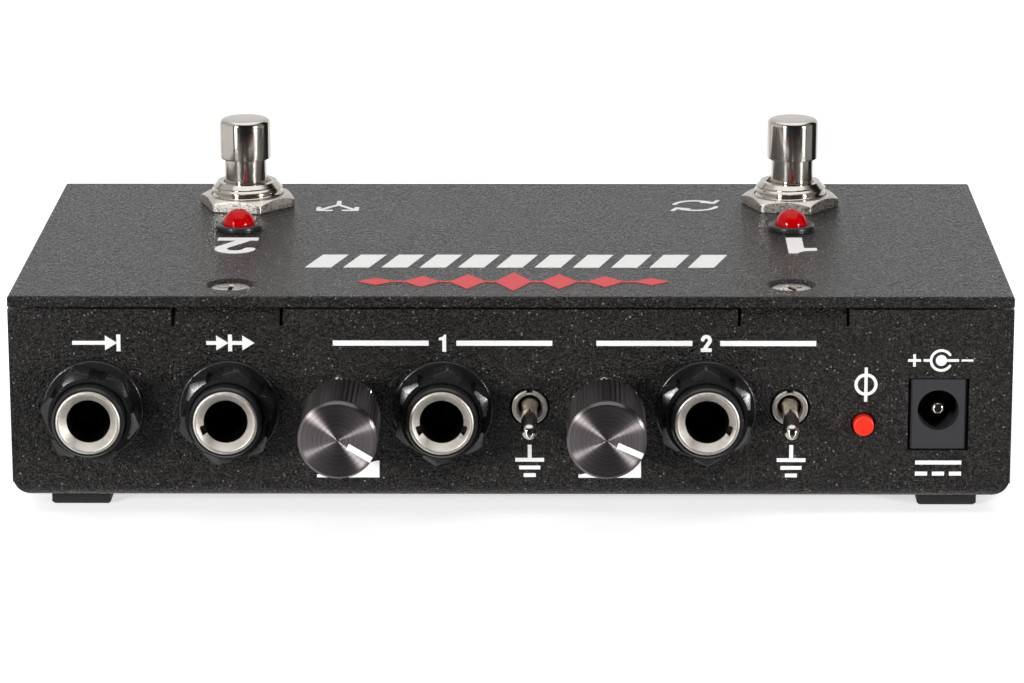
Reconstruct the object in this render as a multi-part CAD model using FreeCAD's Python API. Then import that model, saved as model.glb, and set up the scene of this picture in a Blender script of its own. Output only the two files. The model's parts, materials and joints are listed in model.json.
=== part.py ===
"""A two-button guitar signal switch pedal in a folded steel case.

Working frame of the functions: X runs along the jack panel, Y from the outer face of the jack
panel (Y = 0) towards the player, Z up from the floor that the feet stand on. The pieces are moved
at the end so that the origin is at the bottom centre of the whole pedal's box.
"""

import FreeCAD, Part
import math
import os

V = FreeCAD.Vector
X_AXIS = V(1, 0, 0)
Y_AXIS = V(0, 1, 0)
Z_AXIS = V(0, 0, 1)
HEX_SIDES = 6

# Sheet metal of the case, mm
tray_sheet = 1.5
cover_sheet = 1.8
bend_inside = 0.6
side_bend_inside = 2.1
tab_bend_inside = 1.2
case_gap = 0.25
edge_round = 0.35
relief_above_bend = 0.3
relief_radius = 0.9

# Jack panel layout: each spacing runs from the control before it
left_margin = 13.0
input_to_thru = 21.2
thru_to_knob_1 = 17.8
knob_1_to_output_1 = 15.5
output_1_to_toggle_1 = 13.5
toggle_1_to_knob_2 = 11.9
knob_2_to_output_2 = 15.5
output_2_to_toggle_2 = 13.1
toggle_2_to_button = 11.45
button_to_socket = 11.65
right_margin = 11.4

# Heights through the case
foot_height = 2.8
standoff_height = 4.8
board_thickness = 1.6
axis_above_board = 6.5
axis_below_top = 18.0
button_below_axis = 2.4
toggle_above_axis = 0.25

# Plan of the top
switch_left_inset = 32.65
switch_right_inset = 31.6
switch_from_panel = 64.0
switch_to_back = 18.0
lamp_left_inset = 32.6
lamp_right_inset = 32.25
lamp_to_switch = 18.5
tab_inset = 34.1
tab_screw_from_edge = 7.8

# Tabs, their screws and clinch nuts
tab_width = 16.3
tab_slot = 0.5
tab_reach = 13.0
tab_below_bend = 0.2
tab_hole_gap = 0.1
screw_head_radius = 3.25
screw_recess_radius = 3.8
screw_radius = 1.48
screw_length = 8.0
cross_width = 0.9
cross_reach = 2.0
cross_depth = 1.2
clinch_nut_radius = 2.9
clinch_nut_height = 2.2
thread_gap = 0.06

# Feet
foot_side = 9.3
foot_edge = 0.45
foot_left_inset = 10.05
foot_right_inset = 9.35
foot_inset_y = 10.0

# Circuit board
board_side_gap = 1.0
board_panel_gap = 0.6
board_depth = 48.0
standoff_flats = 5.0
standoff_inset_x = 8.0
standoff_from_board_edge = 5.0
board_screw_length = 5.0
board_screw_head_radius = 2.75
board_screw_head_height = 2.0
board_screw_crown = 0.6
standoff_floor = 0.5

# Jacks for a 6.35 mm plug
plug_bore_radius = 3.4
nose_radius = 5.6
nose_reach = 8.4
nose_beyond_nut = 2.5
nose_edge = 0.3
panel_hole_gap = 0.2
jack_body_width = 15.8
jack_body_above_axis = 6.4
jack_body_length = 25.0
jack_back_wall = 2.0
jack_shoulder = 1.5
jack_slot_width = 3.2
jack_slot_start = 9.0
jack_slot_length = 11.0
ferrule_radius = 4.3
ferrule_rim_radius = 5.03
ferrule_rim_thickness = 0.6
ferrule_proud = 0.2
ferrule_mouth_radius = 4.45
ferrule_length = 11.5
ferrule_gap = 0.05
ferrule_slot_wall = 0.15
ferrule_slot_width = 1.6
ferrule_slot_start = 0.5
ferrule_slot_length = 1.4
ferrule_slot_angle = 20.0
jack_nut_wall = 1.2
jack_nut_flange_rim = 1.1
jack_nut_flange = 1.0
jack_nut_notch_width = 2.5
jack_nut_notch_depth = 0.65
jack_nut_gap = 0.1
jack_nut_chamfer = 0.7
jack_nut_thread_chamfer = 0.15
jack_slot_web = 0.4
spring_strip = 0.4
spring_strip_width = 2.4
spring_strip_end_gap = 0.5
spring_strip_rise = 2.5

# Level controls
pot_width = 9.8
pot_above_axis = 4.9
pot_depth = 6.5
pot_bushing_radius = 3.45
pot_bushing_reach = 3.1
pot_bushing_edge = 0.25
pot_washer_radius = 4.9
pot_washer_thickness = 0.5
pot_nut_flats = 10.0
pot_nut_thickness = 2.0
pot_nut_chamfer = 0.35
pot_shaft_radius = 3.0
pot_shaft_flat = 1.5
shaft_running_gap = 0.05
shaft_into_body = 5.0
knob_radius = 6.1
knob_back_gap = 0.4
knob_length = 14.5
knob_teeth = 50
knob_tooth_depth = 0.3
knob_rim = 1.0
knob_rim_chamfer = 0.4
knob_back_chamfer = 0.4
knob_face_wall = 2.5
knob_bore_gap = 0.02
knob_shaft_end_gap = 0.3

# Toggle switches
toggle_body_width = 6.8
toggle_body_half_height = 6.3
toggle_body_depth = 8.5
toggle_body_from_panel = 0.3
toggle_pad_inset = 1.0
toggle_bushing_radius = 2.78
toggle_bushing_proud = 0.3
toggle_panel_hole_radius = 3.15
toggle_mouth_radius = 2.15
toggle_bore_radius = 1.8
toggle_keyway = 1.05
toggle_keyway_depth = 0.4
toggle_pivot_depth = 1.0
toggle_ball_radius = 1.45
lever_radius = 1.33
lever_reach = 9.2
lever_tail = 2.6
lever_tail_radius = 0.9
lever_tilt = 14.5
lever_tail_gap = 0.6
toggle_throat_before_pivot = 0.3

# Polarity push-button
button_radius = 1.6
button_proud = 1.4
button_edge = 0.2
button_stop_gap = 0.4
button_stem_end_gap = 0.6
button_body_back_wall = 2.5
button_travel = 1.2
button_hole_gap = 0.3
button_stem_half = 1.1
button_body_width = 8.4
button_body_above = 3.6
button_body_depth = 12.0
button_body_from_panel = 2.5
button_stem_gap = 0.3

# DC power socket
socket_width = 9.0
socket_below_axis = 6.4
socket_above_axis = 4.75
socket_depth = 14.0
socket_recess = 0.3
socket_panel_gap = 0.25
socket_edge = 0.5
socket_hole_radius = 3.22
socket_hole_below_axis = 0.2
socket_hole_depth = 10.5
socket_pin_radius = 1.05
socket_pin_below_face = 0.7
socket_pin_round = 0.45
socket_pin_gap = 0.02
socket_pad_behind_panel = 1.0

# Footswitches
bushing_radius = 6.0
bushing_above_cover = 4.2
bushing_chamfer = 0.75
cover_hole_gap = 0.1
foot_nut_flats = 14.3
foot_nut_thickness = 2.0
foot_nut_gap = 0.04
foot_nut_bevel = 30.0
foot_nut_flat_cut = 0.2
foot_nut_base_chamfer = 0.3
foot_washer_radius = 8.0
foot_washer_thickness = 1.0
foot_body_side = 17.0
foot_body_height = 13.0
foot_body_plate = 1.5
foot_plate_overhang = 0.5
foot_plate_narrower = 1.5
plunger_radius = 3.55
plunger_gap = 0.4
plunger_lean_left = -0.2
plunger_lean_right = 0.32
collar_side_gap = 0.45
collar_top_gap = 0.3
plunger_cap_radius = 4.28
plunger_cap_height = 6.8
plunger_exposed = 3.9
plunger_travel = 3.2
plunger_into_body = 2.5
plunger_end_gap = 0.8
plunger_collar_radius = 4.5
plunger_collar_height = 1.2
cap_top_round = 0.85
cap_round_steps = 3
cap_low_round = 0.3
lug_width = 2.0
lug_thickness = 0.8
lug_length = 4.5
lug_pitch = 4.8
spring_radius = 2.6
spring_wire = 0.5
spring_turns = 4
spring_guide_gap = 0.25

# Lamps
lamp_radius = 2.6
lamp_dome_below_bezel = 0.15
lamp_flange_radius = 2.95
lamp_flange = 1.0
lamp_gap = 0.05
bezel_radius = 3.8
bezel_height = 1.0
bezel_wall = 0.6
bezel_sleeve_length = 4.5
bezel_edge = 0.25

# Output transformers
core_width = 17.0
core_height = 14.0
core_stack = 6.0
coil_width = 11.0
coil_depth = 13.0
coil_height = 9.0
coil_round = 1.5
bobbin_base = 1.5
transformer_spacing = 40.0
transformer_from_board_edge = 12.0

# Nut positions as they were tightened, degrees clockwise seen from the panel side
input_nut_turn = -19.0
thru_nut_turn = 14.0
output_1_nut_turn = 8.0
output_2_nut_turn = -1.0
pot_1_nut_turn = -8.0
pot_2_nut_turn = -4.0
foot_nut_turn_left = 48.6
foot_nut_turn_right = 51.6

# Places that follow from the sizes above
spacings = [
    input_to_thru, thru_to_knob_1, knob_1_to_output_1, output_1_to_toggle_1, toggle_1_to_knob_2,
    knob_2_to_output_2, output_2_to_toggle_2, toggle_2_to_button, button_to_socket,
]
case_width = left_margin + sum(spacings) + right_margin
half_width = case_width / 2
row = [-half_width + left_margin + sum(spacings[:i]) for i in range(len(spacings) + 1)]
input_x, thru_x, knob_1_x, output_1_x, toggle_1_x = row[:5]
knob_2_x, output_2_x, toggle_2_x, button_x, socket_x = row[5:]

case_depth = switch_from_panel + switch_to_back
case_bottom = foot_height
floor_top = case_bottom + tray_sheet
board_bottom = floor_top + standoff_height
board_top = board_bottom + board_thickness
axis_z = board_top + axis_above_board
case_top = axis_z + axis_below_top
tray_bend = bend_inside + tray_sheet
side_bend = side_bend_inside + tray_sheet
panel_low = case_bottom + tray_bend + relief_above_bend
cover_bottom = case_top - cover_sheet
tray_top = cover_bottom - case_gap
back_inner = case_depth - cover_sheet

foot_left_x = -half_width + foot_left_inset
foot_right_x = half_width - foot_right_inset
switch_left_x = -half_width + switch_left_inset
switch_right_x = half_width - switch_right_inset
lamp_left_x = -half_width + lamp_left_inset
lamp_right_x = half_width - lamp_right_inset
lamp_y = switch_from_panel - lamp_to_switch
tab_x = half_width - tab_inset
back_tab_screw_y = case_depth - tab_screw_from_edge
board_half_width = half_width - tray_sheet - board_side_gap
board_front = tray_sheet + board_panel_gap
board_back = board_front + board_depth
standoff_y = board_back - standoff_from_board_edge
standoff_xs = [-board_half_width + standoff_inset_x, 0.0, board_half_width - standoff_inset_x]

switch_top = cover_bottom - foot_washer_thickness
bushing_bore_radius = plunger_radius + plunger_gap
collar_top = switch_top - foot_body_plate - collar_top_gap
collar_low = collar_top - plunger_collar_height
plunger_low = collar_low - plunger_into_body
foot_cavity_floor = plunger_low - plunger_travel - plunger_end_gap
lamp_bore_radius = lamp_radius + lamp_gap
bezel_sleeve_radius = lamp_bore_radius + bezel_wall
button_z = axis_z - button_below_axis
socket_hole_z = axis_z - socket_hole_below_axis
toggle_z = axis_z + toggle_above_axis

jack_nut_flats = 2 * (nose_radius + jack_nut_wall)
jack_nut_flange_radius = jack_nut_flats / 2 + jack_nut_flange_rim
jack_nut_height = nose_reach - nose_beyond_nut
knob_back = pot_bushing_reach + knob_back_gap
knob_face = knob_back + knob_length
panel_reach = knob_face
origin_y = (case_depth - panel_reach) / 2


def box(x0, x1, y0, y1, z0, z1):
    return Part.makeBox(x1 - x0, y1 - y0, z1 - z0, V(x0, y0, z0))


def centred_box(x, y, width, depth, z0, z1):
    return box(x - width / 2, x + width / 2, y - depth / 2, y + depth / 2, z0, z1)


def rod_y(x, z, radius, y0, y1):
    return Part.makeCylinder(radius, y1 - y0, V(x, y0, z), Y_AXIS)


def rod_z(x, y, radius, z0, z1):
    return Part.makeCylinder(radius, z1 - z0, V(x, y, z0), Z_AXIS)


def turned_y(x, z, outline):
    """Solid of revolution about a line along Y; outline is (y, radius) pairs in order."""
    points = [V(x + radius, y, z) for y, radius in outline]
    face = Part.Face(Part.makePolygon(points + points[:1]))
    return face.revolve(V(x, 0, z), Y_AXIS, 360)


def turned_z(x, y, outline):
    """Solid of revolution about a line along Z; outline is (radius, z) pairs in order."""
    points = [V(x + radius, y, z) for radius, z in outline]
    face = Part.Face(Part.makePolygon(points + points[:1]))
    return face.revolve(V(x, y, 0), Z_AXIS, 360)


def hex_corner(flats):
    """Radius of a hexagon's corners."""
    return flats / 2 / math.cos(math.pi / HEX_SIDES)


def hex_angles(turn):
    """Angles of a hexagon's corners, the first at turn degrees."""
    return [math.radians(turn) + 2 * math.pi * i / HEX_SIDES for i in range(HEX_SIDES)]


def hexagon_y(x, z, flats, y0, y1, turn):
    """Hexagonal prism along Y with one corner turned clockwise from the top, seen from -Y."""
    corner = hex_corner(flats)
    angles = hex_angles(turn)
    points = [V(x + corner * math.sin(a), y0, z + corner * math.cos(a)) for a in angles]
    face = Part.Face(Part.makePolygon(points + points[:1]))
    return face.extrude(V(0, y1 - y0, 0))


def hexagon_z(x, y, flats, z0, z1, turn):
    corner = hex_corner(flats)
    angles = hex_angles(turn)
    points = [V(x + corner * math.cos(a), y + corner * math.sin(a), z0) for a in angles]
    face = Part.Face(Part.makePolygon(points + points[:1]))
    return face.extrude(V(0, 0, z1 - z0))


def edges_where(shape, test):
    return [edge for edge in shape.Edges if test(edge.BoundBox)]


def thin(length):
    return length < 1e-4


def extrude_profile(points_yz, x0, x1):
    """Prism along X from a closed list of (y, z) corners."""
    points = [V(x0, y, z) for y, z in points_yz]
    face = Part.Face(Part.makePolygon(points + points[:1]))
    return face.extrude(V(x1 - x0, 0, 0))


def folded_sheet(sheet, inside, corner_y, corner_z, upright, inward, x0, x1):
    """Sheet with one fold: an upright leg and a level leg that meet at an outer corner.

    inside is the radius on the fold's inner side.
    upright is the height from that corner to the upright leg's end, negative when it hangs down.
    inward is the length from that corner to the level leg's end, negative when it goes to -Y.
    """
    outer = inside + sheet
    up = math.copysign(1, upright)
    side = math.copysign(1, inward)
    centre = V(x0, corner_y + side * outer, corner_z + up * outer)

    def bend_point(radius, share):
        angle = math.radians(90 * share)
        return centre - V(0, side * radius * math.cos(angle), up * radius * math.sin(angle))

    def bend(radius):
        return Part.Arc(bend_point(radius, 0), bend_point(radius, 0.5), bend_point(radius, 1)).toShape()

    upright_end = V(x0, corner_y, corner_z + upright)
    level_end = V(x0, corner_y + inward, corner_z)
    edges = [
        Part.makeLine(upright_end, bend_point(outer, 0)),
        bend(outer),
        Part.makeLine(bend_point(outer, 1), level_end),
        Part.makeLine(level_end, level_end + V(0, 0, up * sheet)),
        Part.makeLine(level_end + V(0, 0, up * sheet), bend_point(inside, 1)),
        bend(inside),
        Part.makeLine(bend_point(inside, 0), upright_end + V(0, side * sheet, 0)),
        Part.makeLine(upright_end + V(0, side * sheet, 0), upright_end),
    ]
    face = Part.Face(Part.Wire(Part.__sortEdges__(edges)))
    return face.extrude(V(x1 - x0, 0, 0))


def screw_recess(x, y, face, sheet, up):
    """Countersink through a sheet whose outer face is at face; up is 1 when that face looks up."""
    narrow = screw_recess_radius - sheet
    return Part.makeCone(screw_recess_radius, narrow, sheet, V(x, y, face), V(0, 0, -up))


def tab_hole(x, y, face, sheet):
    """Hole in a tab for the tip of a screw's cone, which narrows from the countersunk sheet."""
    radius = screw_recess_radius - sheet + tab_hole_gap
    return rod_z(x, y, radius, face - screw_length, face + screw_length)


def trough(half, front, back, low, high, side_radius, front_radius):
    """Block whose lower edge is rounded along both sides and along the front, mitred between."""
    block = box(-half, half, front, back, low, high)
    sides = edges_where(block, lambda b: thin(b.XLength) and thin(b.ZLength) and thin(b.ZMin - low))
    fronts = edges_where(block, lambda b: thin(b.YLength) and thin(b.ZLength)
                         and thin(b.YMin - front) and thin(b.ZMin - low))
    return block.makeFillet(side_radius, sides).common(block.makeFillet(front_radius, fronts))


def tray_blank():
    """Floor, jack panel and side walls, open at the top and the back.

    The side walls have a wider fold than the jack panel, whose square corners stand in front of it.
    """
    end = back_inner - case_gap
    outer = trough(half_width, 0, end, case_bottom, tray_top, side_bend, tray_bend)
    inner = trough(half_width - tray_sheet, tray_sheet, end + 1, floor_top, tray_top + 1,
                   side_bend_inside, bend_inside)
    panel = box(-half_width, half_width, 0, tray_sheet, panel_low, tray_top)
    return outer.cut(inner).fuse(panel)


def panel_tab(sign):
    """One tab that the jack panel folds in under the cover, and the room cut for it."""
    x0 = sign * tab_x - tab_width / 2
    x1 = x0 + tab_width
    slot_bottom = cover_bottom - tab_bend_inside - tray_sheet - tab_below_bend
    room = box(x0 - tab_slot, x1 + tab_slot, -1, tray_sheet + 1, slot_bottom, tray_top + 1)
    tab = folded_sheet(tray_sheet, tab_bend_inside, 0, cover_bottom, slot_bottom - cover_bottom,
                       tab_reach, x0, x1)
    return room, tab.cut(tab_hole(sign * tab_x, tab_screw_from_edge, cover_bottom, cover_sheet))


def corner_seams():
    """Slits where the side walls meet the jack panel, each ending in a round relief."""
    cuts = []
    for sign in (-1, 1):
        x0 = sign * half_width - 2 * tray_sheet
        x1 = sign * half_width + 2 * tray_sheet
        seam_y = tray_sheet + case_gap
        cuts.append(box(x0, x1, tray_sheet, seam_y, panel_low, tray_top + 1))
        cuts.append(Part.makeCylinder(relief_radius, x1 - x0, V(x0, seam_y, panel_low), X_AXIS))
    return cuts


def base_tray():
    tray = tray_blank()
    cuts = corner_seams()
    tabs = []
    for sign in (-1, 1):
        room, tab = panel_tab(sign)
        cuts.append(room)
        tabs.append(tab)
    for x in (input_x, thru_x, output_1_x, output_2_x):
        cuts.append(rod_y(x, axis_z, nose_radius + panel_hole_gap, -1, 2 * tray_sheet))
    for x in (knob_1_x, knob_2_x):
        cuts.append(rod_y(x, axis_z, pot_bushing_radius + panel_hole_gap, -1, 2 * tray_sheet))
    for x in (toggle_1_x, toggle_2_x):
        cuts.append(rod_y(x, toggle_z, toggle_panel_hole_radius, -1, 2 * tray_sheet))
    cuts.append(rod_y(button_x, button_z, button_radius + button_hole_gap, -1, 2 * tray_sheet))
    side = socket_width / 2 + socket_panel_gap
    cuts.append(box(socket_x - side, socket_x + side, -1, 2 * tray_sheet,
                    axis_z - socket_below_axis - socket_panel_gap,
                    axis_z + socket_above_axis + socket_panel_gap))
    for sign in (-1, 1):
        cuts.append(screw_recess(sign * tab_x, back_tab_screw_y, case_bottom, tray_sheet, -1))
    tray = tray.cut(cuts)
    return tray.fuse(tabs).removeSplitter()


def back_tab(sign):
    """One tab that the cover's back wall folds in over the floor, and the room cut for it."""
    x0 = sign * tab_x - tab_width / 2
    x1 = x0 + tab_width
    slot_top = floor_top + tab_bend_inside + cover_sheet + tab_below_bend
    room = box(x0 - tab_slot, x1 + tab_slot, back_inner - 1, case_depth + 1, case_bottom - 1, slot_top)
    tab = folded_sheet(cover_sheet, tab_bend_inside, case_depth, floor_top, slot_top - floor_top,
                       -tab_reach, x0, x1)
    return room, tab.cut(tab_hole(sign * tab_x, back_tab_screw_y, floor_top, tray_sheet))


def cover():
    """Top plate with its back edge folded down as the wall on the player's side."""
    plate = folded_sheet(cover_sheet, bend_inside, case_depth, case_top, case_bottom - case_top,
                         -case_depth, -half_width, half_width)
    rim = edges_where(plate, lambda b: thin(b.ZMin - case_top) and thin(b.ZLength)
                      and (thin(b.YMax) or (thin(b.XLength) and b.YLength > case_depth / 2)))
    plate = plate.makeFillet(edge_round, rim)
    cuts = []
    tabs = []
    for x in (switch_left_x, switch_right_x):
        cuts.append(rod_z(x, switch_from_panel, bushing_radius + cover_hole_gap, cover_bottom - 1,
                          case_top + 1))
    for x in (lamp_left_x, lamp_right_x):
        cuts.append(rod_z(x, lamp_y, bezel_sleeve_radius + cover_hole_gap, cover_bottom - 1,
                          case_top + 1))
    for sign in (-1, 1):
        cuts.append(screw_recess(sign * tab_x, tab_screw_from_edge, case_top, cover_sheet, 1))
        room, tab = back_tab(sign)
        cuts.append(room)
        tabs.append(tab)
    return plate.cut(cuts).fuse(tabs).removeSplitter()


def countersunk_screw(x, y, seat, up):
    """Cross-head countersunk screw; seat is the sheet's outer face, up is +1 when its head faces up."""
    recess = screw_recess_radius - screw_head_radius
    face = seat - up * recess
    cone_end = screw_head_radius - screw_radius
    outline = [
        (0, face), (screw_head_radius, face), (screw_radius, face - up * cone_end),
        (screw_radius, face - up * screw_length), (0, face - up * screw_length),
    ]
    screw = turned_z(x, y, outline)
    low = min(face, face - up * cross_depth)
    high = max(face, face - up * cross_depth)
    screw = screw.cut(centred_box(x, y, 2 * cross_reach, cross_width, low, high))
    return screw.cut(centred_box(x, y, cross_width, 2 * cross_reach, low, high))


def cover_screws():
    screws = []
    for sign in (-1, 1):
        screws.append(countersunk_screw(sign * tab_x, tab_screw_from_edge, case_top, 1))
        screws.append(countersunk_screw(sign * tab_x, back_tab_screw_y, case_bottom, -1))
    return screws


def cover_clinch_nuts():
    nuts = []
    for sign in (-1, 1):
        for y, z in ((tab_screw_from_edge, cover_bottom - tray_sheet - clinch_nut_height),
                     (back_tab_screw_y, floor_top + cover_sheet)):
            nut = rod_z(sign * tab_x, y, clinch_nut_radius, z, z + clinch_nut_height)
            bore = rod_z(sign * tab_x, y, screw_radius + thread_gap, z - 1, z + clinch_nut_height + 1)
            nuts.append(nut.cut(bore))
    return nuts


def foot(x, y):
    block = centred_box(x, y, foot_side, foot_side, 0, foot_height)
    low = edges_where(block, lambda b: thin(b.ZMax))
    return block.makeChamfer(foot_edge, low)


def pcb_main():
    board = box(-board_half_width, board_half_width, board_front, board_back, board_bottom, board_top)
    holes = [rod_z(x, standoff_y, screw_radius + panel_hole_gap, board_bottom - 1, board_top + 1)
             for x in standoff_xs]
    return board.cut(holes)


def pcb_standoffs():
    posts = []
    for x in standoff_xs:
        post = hexagon_z(x, standoff_y, standoff_flats, floor_top, board_bottom, 0)
        bore = rod_z(x, standoff_y, screw_radius + thread_gap, floor_top + standoff_floor, board_top)
        posts.append(post.cut(bore))
    return posts


def pcb_screws():
    head_top = board_top + board_screw_head_height
    outline = [
        (0, board_top - board_screw_length), (screw_radius, board_top - board_screw_length),
        (screw_radius, board_top), (board_screw_head_radius, board_top),
        (board_screw_head_radius, head_top - board_screw_crown),
        (board_screw_head_radius - board_screw_crown, head_top), (0, head_top),
    ]
    return [turned_z(x, standoff_y, outline) for x in standoff_xs]


def jack_body(x):
    """Black housing on the board with the nose that comes through the panel."""
    back = tray_sheet + jack_body_length
    half = jack_body_width / 2
    top = axis_z + jack_body_above_axis
    shell = box(x - half, x + half, tray_sheet, back, board_top, top)
    long_top = edges_where(shell, lambda b: thin(b.ZMin - top) and thin(b.XLength))
    shell = shell.makeChamfer(jack_shoulder, long_top)
    nose = turned_y(x, axis_z, [
        (tray_sheet, 0), (-nose_reach, 0), (-nose_reach, nose_radius - nose_edge),
        (-nose_reach + nose_edge, nose_radius), (tray_sheet, nose_radius),
    ])
    body = shell.fuse(nose).removeSplitter()
    ferrule_end = ferrule_length - nose_reach - ferrule_proud
    bore = rod_y(x, axis_z, plug_bore_radius, -nose_reach - 1, back - jack_back_wall)
    sleeve = rod_y(x, axis_z, ferrule_radius + ferrule_gap, -nose_reach - 1, ferrule_end)
    rim_seat = rod_y(x, axis_z, ferrule_rim_radius + ferrule_gap, -nose_reach - 1,
                     -nose_reach + ferrule_rim_thickness - ferrule_proud)
    slot = box(x - jack_slot_width / 2, x + jack_slot_width / 2, jack_slot_start,
               jack_slot_start + jack_slot_length, axis_z + plug_bore_radius + jack_slot_web, top + 1)
    return body.cut([bore, sleeve, rim_seat, slot])


def jack_ferrule(x):
    """Bright sleeve lining the nose, with a chamfered mouth and two contact slots."""
    front = -nose_reach - ferrule_proud
    chamfer = ferrule_mouth_radius - plug_bore_radius
    ring = turned_y(x, axis_z, [
        (front, ferrule_mouth_radius), (front, ferrule_rim_radius),
        (front + ferrule_rim_thickness, ferrule_rim_radius),
        (front + ferrule_rim_thickness, ferrule_radius),
        (front + ferrule_length, ferrule_radius), (front + ferrule_length, plug_bore_radius),
        (front + chamfer, plug_bore_radius),
    ])
    for angle in (-ferrule_slot_angle, 180 + ferrule_slot_angle):
        slot = box(x, x + ferrule_radius - ferrule_slot_wall, front + ferrule_slot_start,
                   front + ferrule_slot_start + ferrule_slot_length, axis_z - ferrule_slot_width / 2,
                   axis_z + ferrule_slot_width / 2)
        slot.rotate(V(x, 0, axis_z), Y_AXIS, -angle)
        ring = ring.cut(slot)
    return ring


def jack_nut(x, turn):
    """Black flanged hexagon nut with a notch in the middle of each flat."""
    corner = hex_corner(jack_nut_flats)
    prism = hexagon_y(x, axis_z, jack_nut_flats, -jack_nut_height, -jack_nut_flange, turn)
    cap = turned_y(x, axis_z, [
        (-jack_nut_height, 0), (-jack_nut_height, corner - 2 * jack_nut_chamfer),
        (-jack_nut_height + jack_nut_chamfer, corner), (0, corner), (0, 0),
    ])
    prism = prism.common(cap)
    for i in range(HEX_SIDES):
        notch = box(x - jack_nut_notch_width / 2, x + jack_nut_notch_width / 2,
                    -jack_nut_height - 1, -jack_nut_flange,
                    axis_z + jack_nut_flats / 2 - jack_nut_notch_depth, axis_z + jack_nut_flats)
        notch.rotate(V(x, 0, axis_z), Y_AXIS, turn + (i + 0.5) * 360 / HEX_SIDES)
        prism = prism.cut(notch)
    nut = prism.fuse(rod_y(x, axis_z, jack_nut_flange_radius, -jack_nut_flange, 0)).removeSplitter()
    bore = nose_radius + jack_nut_gap
    thread = turned_y(x, axis_z, [
        (-jack_nut_height - 1, 0), (-jack_nut_height - 1, bore + jack_nut_thread_chamfer),
        (-jack_nut_height, bore + jack_nut_thread_chamfer),
        (-jack_nut_height + jack_nut_thread_chamfer, bore), (1, bore), (1, 0),
    ])
    return nut.cut(thread)


def jack_contacts(x):
    """Tip spring lying in the slot above the plug bore, bent up at its end."""
    low = axis_z + plug_bore_radius + jack_slot_web
    start = jack_slot_start + spring_strip_end_gap
    end = jack_slot_start + jack_slot_length - spring_strip_end_gap
    rise = spring_strip_rise
    return extrude_profile([
        (start, low), (end - rise, low), (end, low + rise - spring_strip), (end, low + rise),
        (end - rise, low + spring_strip), (start, low + spring_strip),
    ], x - spring_strip_width / 2, x + spring_strip_width / 2)


def pot_body(x):
    """Potentiometer housing with its bushing through the panel and the shaft's bore."""
    half = pot_width / 2
    shell = box(x - half, x + half, tray_sheet, tray_sheet + pot_depth, board_top,
                axis_z + pot_above_axis)
    bushing = turned_y(x, axis_z, [
        (tray_sheet, 0), (-pot_bushing_reach, 0),
        (-pot_bushing_reach, pot_bushing_radius - pot_bushing_edge),
        (-pot_bushing_reach + pot_bushing_edge, pot_bushing_radius), (tray_sheet, pot_bushing_radius),
    ])
    body = shell.fuse(bushing)
    bore = rod_y(x, axis_z, pot_shaft_radius + shaft_running_gap, -pot_bushing_reach - 1,
                 shaft_into_body + shaft_running_gap)
    return body.cut(bore).removeSplitter()


def pot_shaft(x):
    end = -(knob_face - knob_face_wall - knob_shaft_end_gap)
    shaft = rod_y(x, axis_z, pot_shaft_radius, end, shaft_into_body)
    side = 2 * pot_shaft_radius
    flat = box(x - side, x + side, end - 1, -knob_back, axis_z + pot_shaft_flat, axis_z + side)
    return shaft.cut(flat)


def pot_washer(x):
    ring = rod_y(x, axis_z, pot_washer_radius, -pot_washer_thickness, 0)
    return ring.cut(rod_y(x, axis_z, pot_bushing_radius + jack_nut_gap, -2, 1))


def pot_nut(x, turn):
    front = -pot_washer_thickness - pot_nut_thickness
    corner = hex_corner(pot_nut_flats)
    prism = hexagon_y(x, axis_z, pot_nut_flats, front, -pot_washer_thickness, turn)
    cap = turned_y(x, axis_z, [
        (front, 0), (front, corner - 2 * pot_nut_chamfer), (front + pot_nut_chamfer, corner),
        (0, corner), (0, 0),
    ])
    bore = rod_y(x, axis_z, pot_bushing_radius + thread_gap, front - 1, 1)
    return prism.common(cap).cut(bore)


def knob(x):
    """Round knob with straight serrations, a plain chamfered rim and a bore for the D-shaft."""
    points = []
    for i in range(2 * knob_teeth):
        angle = math.pi * i / knob_teeth
        radius = knob_radius - knob_tooth_depth * (i % 2)
        points.append(V(x + radius * math.sin(angle), -knob_back, axis_z + radius * math.cos(angle)))
    teeth = Part.Face(Part.makePolygon(points + points[:1])).extrude(V(0, -knob_length + knob_rim, 0))
    back_cone = turned_y(x, axis_z, [
        (-knob_back, 0), (-knob_back, knob_radius - knob_back_chamfer),
        (-knob_back - knob_back_chamfer, knob_radius), (-knob_face, knob_radius), (-knob_face, 0),
    ])
    rim = turned_y(x, axis_z, [
        (-knob_face, 0), (-knob_face, knob_radius - knob_rim_chamfer),
        (-knob_face + knob_rim_chamfer, knob_radius), (-knob_face + knob_rim, knob_radius),
        (-knob_face + knob_rim, 0),
    ])
    body = teeth.common(back_cone).fuse(rim).removeSplitter()
    bore = rod_y(x, axis_z, pot_shaft_radius + knob_bore_gap, -knob_face + knob_face_wall, 0)
    side = 2 * pot_shaft_radius
    flat = box(x - side, x + side, -knob_face, 0, axis_z + pot_shaft_flat + knob_bore_gap, axis_z + side)
    return body.cut(bore.cut(flat))


def toggle_front():
    return tray_sheet + toggle_body_from_panel


def toggle_bore(x):
    """Room in the switch for the lever: a flared mouth, then a straight bore past the pivot."""
    face = -toggle_bushing_proud
    end = toggle_pivot_depth + lever_tail + lever_tail_gap
    return turned_y(x, toggle_z, [
        (face, 0), (face, toggle_mouth_radius),
        (toggle_pivot_depth - toggle_throat_before_pivot, toggle_bore_radius),
        (end, toggle_bore_radius), (end, 0),
    ])


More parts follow.
